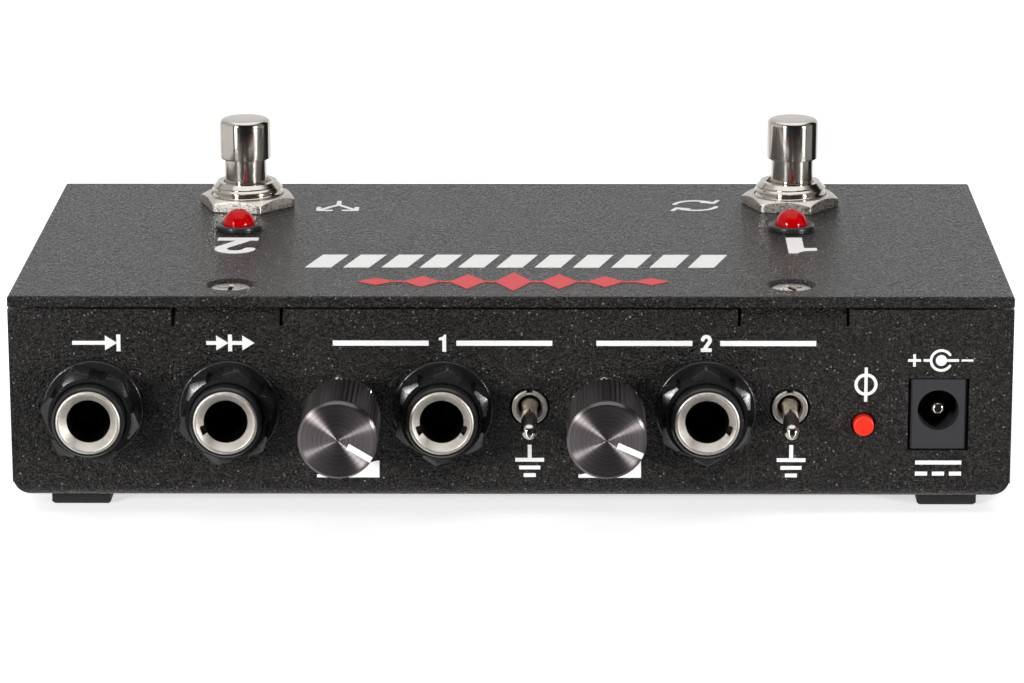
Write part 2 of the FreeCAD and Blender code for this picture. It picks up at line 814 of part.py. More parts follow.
def toggle_body(x):
    """Switch housing that stands on the board behind the panel."""
    half = toggle_body_width / 2
    front = toggle_front()
    back = front + toggle_body_depth
    low = toggle_z - toggle_body_half_height
    shell = box(x - half, x + half, front, back, low, toggle_z + toggle_body_half_height)
    pad = box(x - half, x + half, front + toggle_pad_inset, back - toggle_pad_inset, board_top, low)
    return shell.fuse(pad).removeSplitter().cut(toggle_bore(x))


def toggle_bushing(x):
    """Collar that stands in the panel's hole, with a keyway on top."""
    face = -toggle_bushing_proud
    collar = rod_y(x, toggle_z, toggle_bushing_radius, face, toggle_front())
    key_floor = toggle_z + toggle_bushing_radius - toggle_keyway_depth
    keyway = box(x - toggle_keyway / 2, x + toggle_keyway / 2, face - 1, toggle_front() + 1, key_floor,
                 key_floor + toggle_bushing_radius)
    return collar.cut([keyway, toggle_bore(x)])


def toggle_lever(x):
    """Round lever with a domed tip and a ball at its pivot, tilted down at rest."""
    straight = lever_reach - lever_radius
    rod = rod_y(x, toggle_z, lever_radius, toggle_pivot_depth - straight, toggle_pivot_depth)
    tip = Part.makeSphere(lever_radius, V(x, toggle_pivot_depth - straight, toggle_z))
    ball = Part.makeSphere(toggle_ball_radius, V(x, toggle_pivot_depth, toggle_z))
    tail = rod_y(x, toggle_z, lever_tail_radius, toggle_pivot_depth, toggle_pivot_depth + lever_tail)
    lever = rod.fuse([tip, ball, tail]).removeSplitter()
    lever.rotate(V(x, toggle_pivot_depth, toggle_z), X_AXIS, lever_tilt)
    return lever


def polarity_switch_body():
    half = button_body_width / 2
    front = button_body_from_panel
    back = front + button_body_depth
    shell = box(button_x - half, button_x + half, front, back, board_top, button_z + button_body_above)
    reach = button_stem_half + button_stem_gap
    channel = box(button_x - reach, button_x + reach, front - 1, back - button_body_back_wall,
                  button_z - reach, button_z + reach)
    return shell.cut(channel)


def polarity_button():
    """Round cap in front of the panel on a square stem that runs into the switch."""
    cap_back = button_body_from_panel - button_travel - button_stop_gap
    cap = turned_y(button_x, button_z, [
        (-button_proud, 0), (-button_proud, button_radius - button_edge),
        (-button_proud + button_edge, button_radius), (cap_back, button_radius), (cap_back, 0),
    ])
    channel_end = button_body_from_panel + button_body_depth - button_body_back_wall
    stem_end = channel_end - button_travel - button_stem_end_gap
    half = button_stem_half
    stem = box(button_x - half, button_x + half, 0, stem_end, button_z - half, button_z + half)
    return cap.fuse(stem).removeSplitter()


def dc_socket_body():
    """Socket housing that shows through the panel's rectangular opening."""
    half = socket_width / 2
    low = axis_z - socket_below_axis
    shell = box(socket_x - half, socket_x + half, socket_recess, socket_recess + socket_depth, low,
                axis_z + socket_above_axis)
    upright = edges_where(shell, lambda b: thin(b.XLength) and thin(b.YLength)
                          and thin(b.YMin - socket_recess))
    shell = shell.makeChamfer(socket_edge, upright)
    pad = box(socket_x - half, socket_x + half, tray_sheet + socket_pad_behind_panel,
              socket_recess + socket_depth, board_top, low)
    body = shell.fuse(pad).removeSplitter()
    hole = rod_y(socket_x, socket_hole_z, socket_hole_radius, socket_recess - 1,
                 socket_recess + socket_hole_depth)
    seat = rod_y(socket_x, socket_hole_z, socket_pin_radius + socket_pin_gap, socket_recess,
                 socket_recess + socket_depth + 1)
    return body.cut([hole, seat])


def dc_socket_pin():
    tip = socket_recess + socket_pin_below_face
    end = socket_recess + socket_depth
    return turned_y(socket_x, socket_hole_z, [
        (tip, 0), (tip, socket_pin_radius - socket_pin_round),
        (tip + socket_pin_round, socket_pin_radius),
        (end, socket_pin_radius), (end, 0),
    ])


def footswitch_bushing(x):
    """Threaded collar that holds the switch in the cover and guides its plunger."""
    top = case_top + bushing_above_cover
    return turned_z(x, switch_from_panel, [
        (bushing_bore_radius, switch_top), (bushing_radius, switch_top),
        (bushing_radius, top - bushing_chamfer), (bushing_radius - bushing_chamfer, top),
        (bushing_bore_radius, top),
    ])


def footswitch_body(x):
    """Switch housing under the cover, with a metal top plate and the cavity for plunger and spring."""
    y = switch_from_panel
    plate_low = switch_top - foot_body_plate
    plate = centred_box(x, y, foot_body_side, foot_body_side - 2 * foot_plate_narrower, plate_low,
                        switch_top)
    block = centred_box(x, y, foot_body_side - 2 * foot_plate_overhang, foot_body_side,
                        switch_top - foot_body_height, plate_low)
    body = plate.fuse(block).removeSplitter()
    cavity = rod_z(x, y, plunger_collar_radius + collar_side_gap, foot_cavity_floor, plate_low)
    mouth = rod_z(x, y, bushing_bore_radius, plate_low - 1, switch_top + 1)
    return body.cut([cavity, mouth])


def footswitch_plunger(x):
    """Stem and cap in one turned piece, with a collar that keeps it in the housing.

    It sits loose in its bore, so that its own axis at x lies a little beside the switch's.
    """
    stem_top = case_top + bushing_above_cover + plunger_exposed
    cap_top = stem_top + plunger_cap_height
    guide_radius = spring_radius - spring_wire / 2 - spring_guide_gap
    cap_edge = [math.pi / 2 * i / cap_round_steps for i in range(cap_round_steps + 1)]
    cap_round = [(plunger_cap_radius - cap_top_round * (1 - math.cos(a)),
                  cap_top - cap_top_round * (1 - math.sin(a))) for a in cap_edge]
    outline = [
        (0, plunger_low), (guide_radius, plunger_low), (guide_radius, collar_low),
        (plunger_collar_radius, collar_low), (plunger_collar_radius, collar_top),
        (plunger_radius, collar_top), (plunger_radius, stem_top),
        (plunger_cap_radius - cap_low_round, stem_top), (plunger_cap_radius, stem_top + cap_low_round),
    ]
    return turned_z(x, switch_from_panel, outline + cap_round + [(0, cap_top)])


def footswitch_nut(x, turn):
    """Hexagon nut whose corners are turned down to a bevel."""
    corner = hex_corner(foot_nut_flats)
    top_radius = foot_nut_flats / 2 - foot_nut_flat_cut
    top = case_top + foot_nut_thickness
    drop = (corner - top_radius) * math.tan(math.radians(foot_nut_bevel))
    prism = hexagon_z(x, switch_from_panel, foot_nut_flats, case_top, top, turn)
    cap = turned_z(x, switch_from_panel, [
        (0, case_top), (corner - foot_nut_base_chamfer, case_top),
        (corner, case_top + foot_nut_base_chamfer), (corner, top - drop), (top_radius, top), (0, top),
    ])
    bore = rod_z(x, switch_from_panel, bushing_radius + foot_nut_gap, case_top - 1, top + 1)
    return prism.common(cap).cut(bore)


def footswitch_washer(x):
    ring = rod_z(x, switch_from_panel, foot_washer_radius, switch_top, cover_bottom)
    return ring.cut(rod_z(x, switch_from_panel, bushing_radius + foot_nut_gap, switch_top - 1, case_top))


def footswitch_lugs(x):
    top = switch_top - foot_body_height
    lugs = []
    for column in (-1, 0, 1):
        for line in (-1, 0, 1):
            lug = centred_box(x + column * lug_pitch, switch_from_panel + line * lug_pitch, lug_width,
                              lug_thickness, top - lug_length, top)
            lugs.append(lug)
    return lugs


def footswitch_spring(x):
    """Return spring between the cavity's floor and the plunger's collar."""
    length = collar_low - foot_cavity_floor - spring_wire
    path = Part.makeHelix(length / spring_turns, length, spring_radius)
    half = spring_wire / 2
    sides = ((-half, -half), (half, -half), (half, half), (-half, half))
    corners = [V(spring_radius + out, 0, up) for out, up in sides]
    section = Part.makePolygon(corners + corners[:1])
    coil = Part.Wire(path).makePipeShell([section], True, True)
    coil.translate(V(x, switch_from_panel, foot_cavity_floor + half))
    return coil


def lamp(x):
    """Five-millimetre lamp with a domed lens and a rim at its base."""
    dome_z = case_top + bezel_height - lamp_dome_below_bezel
    rim_top = case_top - bezel_sleeve_length
    barrel = rod_z(x, lamp_y, lamp_radius, rim_top - lamp_flange, dome_z)
    dome = Part.makeSphere(lamp_radius, V(x, lamp_y, dome_z))
    rim = rod_z(x, lamp_y, lamp_flange_radius, rim_top - lamp_flange, rim_top)
    return barrel.fuse([dome, rim]).removeSplitter()


def lamp_bezel(x):
    bore = lamp_bore_radius
    top = case_top + bezel_height
    low = case_top - bezel_sleeve_length
    return turned_z(x, lamp_y, [
        (bore, low), (bezel_sleeve_radius, low), (bezel_sleeve_radius, case_top),
        (bezel_radius, case_top), (bezel_radius, top - bezel_edge), (bezel_radius - bezel_edge, top),
        (bore, top),
    ])


def coil_box(x, low, high):
    return centred_box(x, board_back - transformer_from_board_edge, coil_width, coil_depth, low, high)


def transformer_core(x):
    """Stack of laminations with a window for the wound bobbin."""
    low = board_top + bobbin_base
    y = board_back - transformer_from_board_edge
    core = centred_box(x, y, core_width, core_stack, low, low + core_height)
    window_low = low + (core_height - coil_height) / 2
    return core.cut(coil_box(x, window_low, window_low + coil_height))


def transformer_bobbin(x):
    """Winding through the core's window, and the bobbin's foot that stands on the board."""
    low = board_top + bobbin_base
    window_low = low + (core_height - coil_height) / 2
    coil = coil_box(x, window_low, window_low + coil_height)
    long_edges = edges_where(coil, lambda b: thin(b.XLength) and thin(b.YLength))
    return [coil.makeFillet(coil_round, long_edges), coil_box(x, board_top, low)]


def all_nodes():
    nodes = {
        "base_tray": [base_tray()],
        "cover": [cover()],
        "cover_screws": cover_screws(),
        "cover_clinch_nuts": cover_clinch_nuts(),
        "foot_panel_left": [foot(foot_left_x, foot_inset_y)],
        "foot_panel_right": [foot(foot_right_x, foot_inset_y)],
        "foot_player_left": [foot(foot_left_x, case_depth - foot_inset_y)],
        "foot_player_right": [foot(foot_right_x, case_depth - foot_inset_y)],
        "pcb_main": [pcb_main()],
        "pcb_standoffs": pcb_standoffs(),
        "pcb_screws": pcb_screws(),
        "pot_washers": [pot_washer(knob_1_x), pot_washer(knob_2_x)],
        "pot_nuts": [pot_nut(knob_1_x, pot_1_nut_turn), pot_nut(knob_2_x, pot_2_nut_turn)],
        "polarity_switch_body": [polarity_switch_body()],
        "polarity_button": [polarity_button()],
        "dc_socket_body": [dc_socket_body()],
        "dc_socket_pin": [dc_socket_pin()],
        "footswitch_nuts": [footswitch_nut(switch_left_x, foot_nut_turn_left),
                            footswitch_nut(switch_right_x, foot_nut_turn_right)],
        "footswitch_washers": [footswitch_washer(switch_left_x), footswitch_washer(switch_right_x)],
        "footswitch_lugs": footswitch_lugs(switch_left_x) + footswitch_lugs(switch_right_x),
        "jack_contacts": [jack_contacts(x) for x in (input_x, thru_x, output_1_x, output_2_x)],
        "toggle_bushings": [toggle_bushing(toggle_1_x), toggle_bushing(toggle_2_x)],
        "transformer_cores": [transformer_core(side * transformer_spacing / 2) for side in (-1, 1)],
        "transformer_bobbins": transformer_bobbin(-transformer_spacing / 2)
        + transformer_bobbin(transformer_spacing / 2),
    }
    jacks = {
        "input": (input_x, input_nut_turn),
        "thru": (thru_x, thru_nut_turn),
        "output_1": (output_1_x, output_1_nut_turn),
        "output_2": (output_2_x, output_2_nut_turn),
    }
    for name, (x, turn) in jacks.items():
        nodes[f"jack_{name}_body"] = [jack_body(x)]
        nodes[f"jack_{name}_ferrule"] = [jack_ferrule(x)]
        nodes[f"jack_{name}_nut"] = [jack_nut(x, turn)]
    for number, knob_x, toggle_x in ((1, knob_1_x, toggle_1_x), (2, knob_2_x, toggle_2_x)):
        nodes[f"pot_{number}_body"] = [pot_body(knob_x)]
        nodes[f"pot_{number}_shaft"] = [pot_shaft(knob_x)]
        nodes[f"knob_{number}"] = [knob(knob_x)]
        nodes[f"toggle_{number}_body"] = [toggle_body(toggle_x)]
        nodes[f"toggle_{number}_lever"] = [toggle_lever(toggle_x)]
    sides = ((1, switch_right_x, plunger_lean_right, lamp_right_x),
             (2, switch_left_x, plunger_lean_left, lamp_left_x))
    for number, switch_x, lean, lamp_x in sides:
        nodes[f"footswitch_{number}_body"] = [footswitch_body(switch_x)]
        nodes[f"footswitch_{number}_bushing"] = [footswitch_bushing(switch_x)]
        nodes[f"footswitch_{number}_plunger"] = [footswitch_plunger(switch_x + lean)]
        nodes[f"footswitch_{number}_spring"] = [footswitch_spring(switch_x + lean)]
        nodes[f"lamp_{number}"] = [lamp(lamp_x)]
        nodes[f"lamp_{number}_bezel"] = [lamp_bezel(lamp_x)]
    return nodes


def main():
    os.makedirs("parts", exist_ok=True)
    for name, solids in all_nodes().items():
        shape = solids[0] if len(solids) == 1 else Part.makeCompound(solids)
        shape.translate(V(0, -origin_y, 0))
        shape.exportStep(os.path.join("parts", name + ".step"))
        count = len(shape.Solids)
        print(f"{name}: {count} solid(s), valid {shape.isValid()}, {shape.Volume:.1f} mm3")


main()
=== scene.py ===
"""Looks of a two-button guitar signal switch pedal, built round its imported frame.

All lengths are metres in the frame of the part: X along the jack panel, +Y towards the player,
+Z up. MM turns the millimetres that a maker would write into metres.
"""

import json
import math

import bmesh
import bpy
from bpy.props import FloatProperty, FloatVectorProperty, IntProperty, PointerProperty
from mathutils import Matrix, Vector
from mathutils.geometry import delaunay_2d_cdt


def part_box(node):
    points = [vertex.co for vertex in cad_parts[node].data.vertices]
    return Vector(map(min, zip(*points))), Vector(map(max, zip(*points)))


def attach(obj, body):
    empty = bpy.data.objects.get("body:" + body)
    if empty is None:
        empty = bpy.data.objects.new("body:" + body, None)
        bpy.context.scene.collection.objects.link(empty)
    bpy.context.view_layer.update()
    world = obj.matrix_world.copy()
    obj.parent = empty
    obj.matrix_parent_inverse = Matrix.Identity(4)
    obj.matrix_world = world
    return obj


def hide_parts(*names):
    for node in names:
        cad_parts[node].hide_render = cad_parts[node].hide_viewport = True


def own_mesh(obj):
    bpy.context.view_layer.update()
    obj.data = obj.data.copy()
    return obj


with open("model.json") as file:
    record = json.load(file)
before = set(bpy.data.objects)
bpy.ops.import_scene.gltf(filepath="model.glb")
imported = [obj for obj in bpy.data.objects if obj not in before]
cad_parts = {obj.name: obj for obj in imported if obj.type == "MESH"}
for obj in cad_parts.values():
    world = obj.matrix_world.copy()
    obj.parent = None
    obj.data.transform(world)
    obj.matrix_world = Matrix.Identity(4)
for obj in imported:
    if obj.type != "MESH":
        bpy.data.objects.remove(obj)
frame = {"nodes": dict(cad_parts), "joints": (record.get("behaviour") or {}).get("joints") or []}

bl_info = {
    "name": "Signal Switch Pedal",
    "version": (1, 0, 0),
    "blender": (4, 5, 0),
    "location": "3D View > Sidebar > Pedal",
    "description": "Dresses the packed frame of a two-button signal switch pedal",
    "category": "Object",
}

MM = 0.001
WELD = 0.002 * MM
NODES = frame["nodes"]
JOINTS = {joint["name"]: joint for joint in frame["joints"]}
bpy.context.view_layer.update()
CASE = "case"

# Where the pieces sit, read from the frame
TRAY_LOW, TRAY_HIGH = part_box("base_tray")
PANEL_Y = TRAY_LOW.y
LID_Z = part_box("cover")[1].z


def linear(hex_colour):
    """Linear RGB of an sRGB colour such as #1C1C1D."""
    channels = [int(hex_colour[i:i + 2], 16) / 255 for i in (1, 3, 5)]
    return tuple(c / 12.92 if c <= 0.04045 else ((c + 0.055) / 1.055) ** 2.4 for c in channels)


def rgba(colour):
    return (*colour, 1.0)


def length(name, description, millimetres):
    """A length property whose default is written in millimetres."""
    return FloatProperty(name=name, description=description, default=millimetres * MM,
                         min=0.0, unit="LENGTH", precision=5)


def colour(name, description, hex_colour):
    """A colour property whose default is written as sRGB hex."""
    return FloatVectorProperty(name=name, description=description, default=linear(hex_colour),
                               size=3, min=0.0, max=1.0, subtype="COLOR")


class PedalCaseSettings(bpy.types.PropertyGroup):
    """Powder coat of the folded case and the rubber under it."""

    coat: colour("Coat", "Powder coat of tray and cover", "#191716")
    # The glint settings are for painted glints: pale dots painted into the coat as highlights
    glint: colour("Glint", "Grains of the coat that catch the light", "#C9C6C0")
    grain: length("Grain", "Width of the coat's bumps, as coarse as they need to show", 0.3)
    glint_spacing: length("Glint spacing", "Mean distance between bright grains", 0.6)
    glint_radius: length("Glint radius", "Radius of a bright grain, as coarse as it needs to show",
                         0.17)
    rubber: colour("Rubber", "Moulded feet", "#1A1A1B")


class PedalMetalSettings(bpy.types.PropertyGroup):
    """Plated, turned and anodised metal."""

    nickel: colour("Nickel", "Nickel plate on brass", "#D3CDC5")
    zinc: colour("Zinc", "Zinc plate on steel", "#B4B6B8")
    aluminium: colour("Aluminium", "Bare turned aluminium", "#C4C5C6")
    anodised: colour("Anodised", "Black anodised knobs", "#918A8B")
    thread_pitch: length("Thread pitch", "Pitch of the footswitch bushings' thread", 1.0)
    thread_depth: length("Thread depth", "Depth of the same thread", 0.42)
    turning: length("Turning marks", "Spacing of the lathe's marks", 0.12)
    knob_teeth: IntProperty(name="Knob teeth", description="Serrations round a knob", default=50,
                            min=12)
    knob_tooth_depth: length("Tooth depth", "Depth of a knob's serrations", 0.3)


class PedalPlasticSettings(bpy.types.PropertyGroup):
    """Moulded plastics and the cast lamps."""

    black: colour("Black", "Moulded nylon and other black plastics", "#161617")
    housing: colour("Housing", "Sockets and switch bodies", "#2F2F33")
    red: colour("Red", "Polarity button", "#F53322")
    lamp: colour("Lamp", "Red lamp lens", "#C40006")
    board: colour("Board", "Solder mask of the circuit board", "#1F4D33")


class PedalPrintSettings(bpy.types.PropertyGroup):
    """Screen print on panel and cover."""

    white: colour("White", "White ink", "#F8F8F6")
    red: colour("Red", "Red ink", "#E23B40")
    thickness: length("Ink", "Thickness of the ink over the coat", 0.03)
    line: length("Line", "Width of the long lines over the outputs", 0.83)
    fine_line: length("Fine line", "Width of the small symbols' strokes", 0.5)


class PedalStageSettings(bpy.types.PropertyGroup):
    """Floor, light and camera."""

    floor: colour("Floor", "Seamless paper", "#F4F4F4")
    fill: FloatProperty(name="Fill", description="Light from the ceiling", default=0.85, min=0.0)
    top_power: FloatProperty(name="Top light", description="Watts of the light above", default=4.0,
                             min=0.0, unit="POWER")
    side_power: FloatProperty(name="Side lights", description="Watts of each light in front",
                              default=6.8, min=0.0, unit="POWER")
    lens: length("Lens", "Focal length on a 36 mm wide sensor", 148.7)


def settings(name):
    return getattr(bpy.context.scene, "pedal_" + name)


def add_node(tree, kind, inputs=None, **properties):
    """Adds a shader node, sets its properties, and fills its inputs with values or links.

    A node among the values stands for its own first output.
    """
    node = tree.nodes.new(kind)
    for name, value in properties.items():
        setattr(node, name, value)
    for key, value in (inputs or {}).items():
        if isinstance(value, bpy.types.Node):
            value = value.outputs[0]
        if isinstance(value, bpy.types.NodeSocket):
            tree.links.new(value, node.inputs[key])
        else:
            node.inputs[key].default_value = value
    return node


# Sockets of the Mix node when it mixes colours
MIX_A, MIX_B, MIX_RESULT = 6, 7, 2


def finish(builder):
    """Makes a builder of shader nodes into a function that gives its material, made once."""
    def material():
        found = bpy.data.materials.get(builder.__name__)
        if found:
            return found
        made = bpy.data.materials.new(builder.__name__)
        made.use_nodes = True
        made.node_tree.nodes.clear()
        shader = builder(made.node_tree)
        add_node(made.node_tree, "ShaderNodeOutputMaterial", {"Surface": shader})
        return made
    return material


def lathe_place(tree):
    """Position as (distance from the piece's own axis, height along it), for lathe marks."""
    place = add_node(tree, "ShaderNodeTexCoord").outputs["Object"]
    split = add_node(tree, "ShaderNodeSeparateXYZ", {0: place})
    flat = add_node(tree, "ShaderNodeCombineXYZ",
                    {"X": split.outputs["X"], "Y": split.outputs["Y"]})
    reach = add_node(tree, "ShaderNodeVectorMath", {0: flat}, operation="LENGTH")
    along = add_node(tree, "ShaderNodeCombineXYZ",
                     {"X": reach.outputs["Value"], "Z": split.outputs["Z"]})
    return along


def mottled(tree, colour, pattern, dark, bright, start=0.0, end=1.0):
    """The colour times a level from dark to bright, as a pattern goes from start to end."""
    level = add_node(tree, "ShaderNodeMapRange",
                     {"Value": pattern, "From Min": start, "From Max": end, "To Min": dark,
                      "To Max": bright})
    return add_node(tree, "ShaderNodeVectorMath", {0: colour, "Scale": level}, operation="SCALE")


@finish
def powder_coated_steel(tree):
    """Sprayed and baked polyester powder: satin black with a fine sandy grain. Single grains are
    painted pale in the coat's colour: painted glints. The grain is what turns the top mid-grey
    where it is seen at a low angle."""
    case = settings("case")
    place = add_node(tree, "ShaderNodeTexCoord").outputs["Object"]
    # Painted glints: rare cells get a pale dot in the coat's colour, a painted highlight
    cells = add_node(tree, "ShaderNodeTexVoronoi",
                     {"Vector": place, "Scale": 1 / case.glint_spacing, "Randomness": 1.0})
    reach = case.glint_radius / case.glint_spacing
    dot = add_node(tree, "ShaderNodeMapRange",
                   {"Value": cells.outputs["Distance"], "From Min": 0.5 * reach, "From Max": reach,
                    "To Min": 0.6, "To Max": 0.0})
    chosen = add_node(tree, "ShaderNodeSeparateColor", {"Color": cells.outputs["Color"]})
    rare = add_node(tree, "ShaderNodeMath", {0: chosen, 1: 7.0}, operation="POWER")
    lit = add_node(tree, "ShaderNodeMath", {0: dot, 1: rare}, operation="MULTIPLY")
    grain = add_node(tree, "ShaderNodeTexNoise",
                     {"Vector": place, "Scale": 1 / case.grain, "Detail": 1.0, "Roughness": 0.6})
    peel = add_node(tree, "ShaderNodeTexNoise",
                    {"Vector": place, "Scale": 1 / (2.5 * case.grain), "Detail": 1.0})
    height = add_node(tree, "ShaderNodeMath", {0: grain, 1: peel}, operation="ADD")
    coat = mottled(tree, case.coat, grain, 0.0, 4.6, 0.4, 0.66)
    coat_with_painted_glints = add_node(tree, "ShaderNodeMix",
                     {0: lit, MIX_A: coat, MIX_B: rgba(case.glint)}, data_type="RGBA")
    sheen = add_node(tree, "ShaderNodeMapRange",
                     {"Value": grain, "From Min": 0.4, "From Max": 0.6, "To Min": 0.38,
                      "To Max": 0.15})
    bump = add_node(tree, "ShaderNodeBump",
                    {"Height": height, "Strength": 1.0, "Distance": 0.75 * MM})
    return add_node(tree, "ShaderNodeBsdfPrincipled",
                    {"Base Color": coat_with_painted_glints.outputs[MIX_RESULT], "Roughness": sheen, "Normal": bump,
                     "IOR": 1.5, "Specular IOR Level": 0.3})


@finish
def nickel_plated_brass_turned(tree):
    """Bright nickel over lathe-turned brass: the rings that the tool left draw each light out into
    a streak along the piece, between near-black bands, with soft smears from handling."""
    metal = settings("metal")
    place = add_node(tree, "ShaderNodeTexCoord").outputs["Object"]
    smear = add_node(tree, "ShaderNodeTexNoise",
                     {"Vector": place, "Scale": 1 / (2.2 * MM), "Detail": 3.0, "Roughness": 0.6})
    gloss = add_node(tree, "ShaderNodeMapRange",
                     {"Value": smear, "From Min": 0.35, "From Max": 0.7, "To Min": 0.09,
                      "To Max": 0.16})
    rings = add_node(tree, "ShaderNodeTexNoise",
                     {"Vector": lathe_place(tree), "Scale": 1 / metal.turning, "Roughness": 0.6})
    bump = add_node(tree, "ShaderNodeBump",
                    {"Height": rings, "Strength": 0.35, "Distance": 0.006 * MM})
    plate = mottled(tree, metal.nickel, smear, 0.86, 1.08)
    around = add_node(tree, "ShaderNodeTangent", direction_type="RADIAL", axis="Z")
    return add_node(tree, "ShaderNodeBsdfPrincipled",
                    {"Base Color": plate, "Metallic": 1.0, "Roughness": gloss, "Normal": bump,
                     "Tangent": around, "Anisotropic": 0.5, "Anisotropic Rotation": 0.25})


# Distances from the panel at which a bright mouth turns into a bore painted dark: painted shade
FERRULE_BORE_SHADE = 7.1 * MM
TOGGLE_BORE_SHADE = -2.0 * MM


def bored_nickel(tree, bore_shade_start):
    """Nickel over a turned sleeve: fine feed marks leave rim and cone evenly pale from all sides,
    while the bore behind them is painted nearly black: painted shade."""
    metal = settings("metal")
    place = add_node(tree, "ShaderNodeTexCoord").outputs["Object"]
    smear = add_node(tree, "ShaderNodeTexNoise",
                     {"Vector": place, "Scale": 1 / (0.5 * MM), "Detail": 3.0, "Roughness": 0.6})
    gloss = add_node(tree, "ShaderNodeMapRange",
                     {"Value": smear, "From Min": 0.35, "From Max": 0.7, "To Min": 0.38,
                      "To Max": 0.52})
    rings = add_node(tree, "ShaderNodeTexNoise",
                     {"Vector": lathe_place(tree), "Scale": 1 / metal.turning, "Roughness": 0.6})
    bump = add_node(tree, "ShaderNodeBump",
                    {"Height": rings, "Strength": 0.6, "Distance": 0.02 * MM})
    depth = add_node(tree, "ShaderNodeSeparateXYZ", {0: place})
    plate = mottled(tree, metal.nickel, smear, 1.0, 1.35)
    # Painted shade: deeper into the bore than the given start, the colour falls to a twentieth
    bore_painted_shade = mottled(tree, plate, depth.outputs["Z"], 0.05, 1.0, bore_shade_start, bore_shade_start + 0.3 * MM)
    return add_node(tree, "ShaderNodeBsdfPrincipled",
                    {"Base Color": bore_painted_shade, "Metallic": 1.0, "Roughness": gloss, "Normal": bump})


@finish
def nickel_plated_brass_bored_ferrule(tree):
    """Sleeve of a jack."""
    return bored_nickel(tree, FERRULE_BORE_SHADE)


@finish
def nickel_plated_brass_bored_bushing(tree):
    """Bushing of a toggle switch."""
    return bored_nickel(tree, TOGGLE_BORE_SHADE)


@finish
def nickel_plated_brass_milled(tree):
    """Nickel over nuts cut from hexagon bar and screws: a satin surface with short random
    scratches, duller than the turned parts. Below the face of a screw's head, its cross is
    painted nearly black: painted shade."""
    metal = settings("metal")
    place = add_node(tree, "ShaderNodeTexCoord").outputs["Object"]
    pits = add_node(tree, "ShaderNodeTexNoise",
                    {"Vector": place, "Scale": 1 / (0.35 * MM), "Detail": 4.0, "Roughness": 0.7})
    gloss = add_node(tree, "ShaderNodeMapRange",
                     {"Value": pits, "From Min": 0.3, "From Max": 0.7, "To Min": 0.16,
                      "To Max": 0.5})
    rings = add_node(tree, "ShaderNodeTexNoise",
                     {"Vector": lathe_place(tree), "Scale": 1 / (0.2 * MM)})
    height = add_node(tree, "ShaderNodeMath", {0: pits, 1: rings}, operation="ADD")
    bump = add_node(tree, "ShaderNodeBump",
                    {"Height": height, "Strength": 0.7, "Distance": 0.012 * MM})
    tint = add_node(tree, "ShaderNodeMapRange",
                    {"Value": pits, "From Min": 0.35, "From Max": 0.6, "To Min": 0.84,
                     "To Max": 1.08})
    split = add_node(tree, "ShaderNodeSeparateXYZ", {0: place})
    # Painted shade: in a screw's cross, below the head's face, the colour falls nearly to black
    recess = add_node(tree, "ShaderNodeMapRange",
                      {"Value": split.outputs["Z"], "From Min": -0.3 * MM, "From Max": -0.1 * MM,
                       "To Min": 0.03, "To Max": 1.0})
    shade = add_node(tree, "ShaderNodeMath", {0: tint, 1: recess}, operation="MULTIPLY")
    plate = add_node(tree, "ShaderNodeVectorMath",
                     {0: metal.nickel, "Scale": shade}, operation="SCALE")
    return add_node(tree, "ShaderNodeBsdfPrincipled",
                    {"Base Color": plate, "Metallic": 1.0, "Roughness": gloss, "Normal": bump})


@finish
def zinc_plated_steel_pressed(tree):
    """Clear-passivated zinc on pressed steel: cool light grey with a fine crystalline mottle."""
    metal = settings("metal")
    place = add_node(tree, "ShaderNodeTexCoord").outputs["Object"]
    spangle = add_node(tree, "ShaderNodeTexVoronoi", {"Vector": place, "Scale": 1 / (0.4 * MM)})
    value = add_node(tree, "ShaderNodeSeparateColor", {"Color": spangle.outputs["Color"]})
    gloss = add_node(tree, "ShaderNodeMapRange", {"Value": value, "To Min": 0.25, "To Max": 0.42})
    plate = mottled(tree, metal.zinc, value.outputs[1], 0.85, 1.0)
    return add_node(tree, "ShaderNodeBsdfPrincipled",
                    {"Base Color": plate, "Metallic": 1.0, "Roughness": gloss})


@finish
def tinned_bronze_stamped(tree):
    """Tin on stamped spring bronze: dull silver with die lines along the strip."""
    metal = settings("metal")
    place = add_node(tree, "ShaderNodeTexCoord").outputs["Object"]
    lines = add_node(tree, "ShaderNodeVectorMath",
                     {0: place, 1: (1.0, 0.1, 1.0)}, operation="MULTIPLY")
    grain = add_node(tree, "ShaderNodeTexNoise", {"Vector": lines, "Scale": 1 / (0.15 * MM)})
    gloss = add_node(tree, "ShaderNodeMapRange", {"Value": grain, "To Min": 0.25, "To Max": 0.45})
    bump = add_node(tree, "ShaderNodeBump",
                    {"Height": grain, "Strength": 0.4, "Distance": 0.01 * MM})
    return add_node(tree, "ShaderNodeBsdfPrincipled",
                    {"Base Color": rgba(metal.aluminium), "Metallic": 1.0, "Roughness": gloss,
                     "Normal": bump})


@finish
def aluminium_turned(tree):
    """Bare aluminium shaft, turned: pale grey with fine rings round it."""
    metal = settings("metal")
    rings = add_node(tree, "ShaderNodeTexNoise",
                     {"Vector": lathe_place(tree), "Scale": 1 / metal.turning})
    gloss = add_node(tree, "ShaderNodeMapRange", {"Value": rings, "To Min": 0.22, "To Max": 0.4})
    return add_node(tree, "ShaderNodeBsdfPrincipled",
                    {"Base Color": rgba(metal.aluminium), "Metallic": 1.0, "Roughness": gloss})


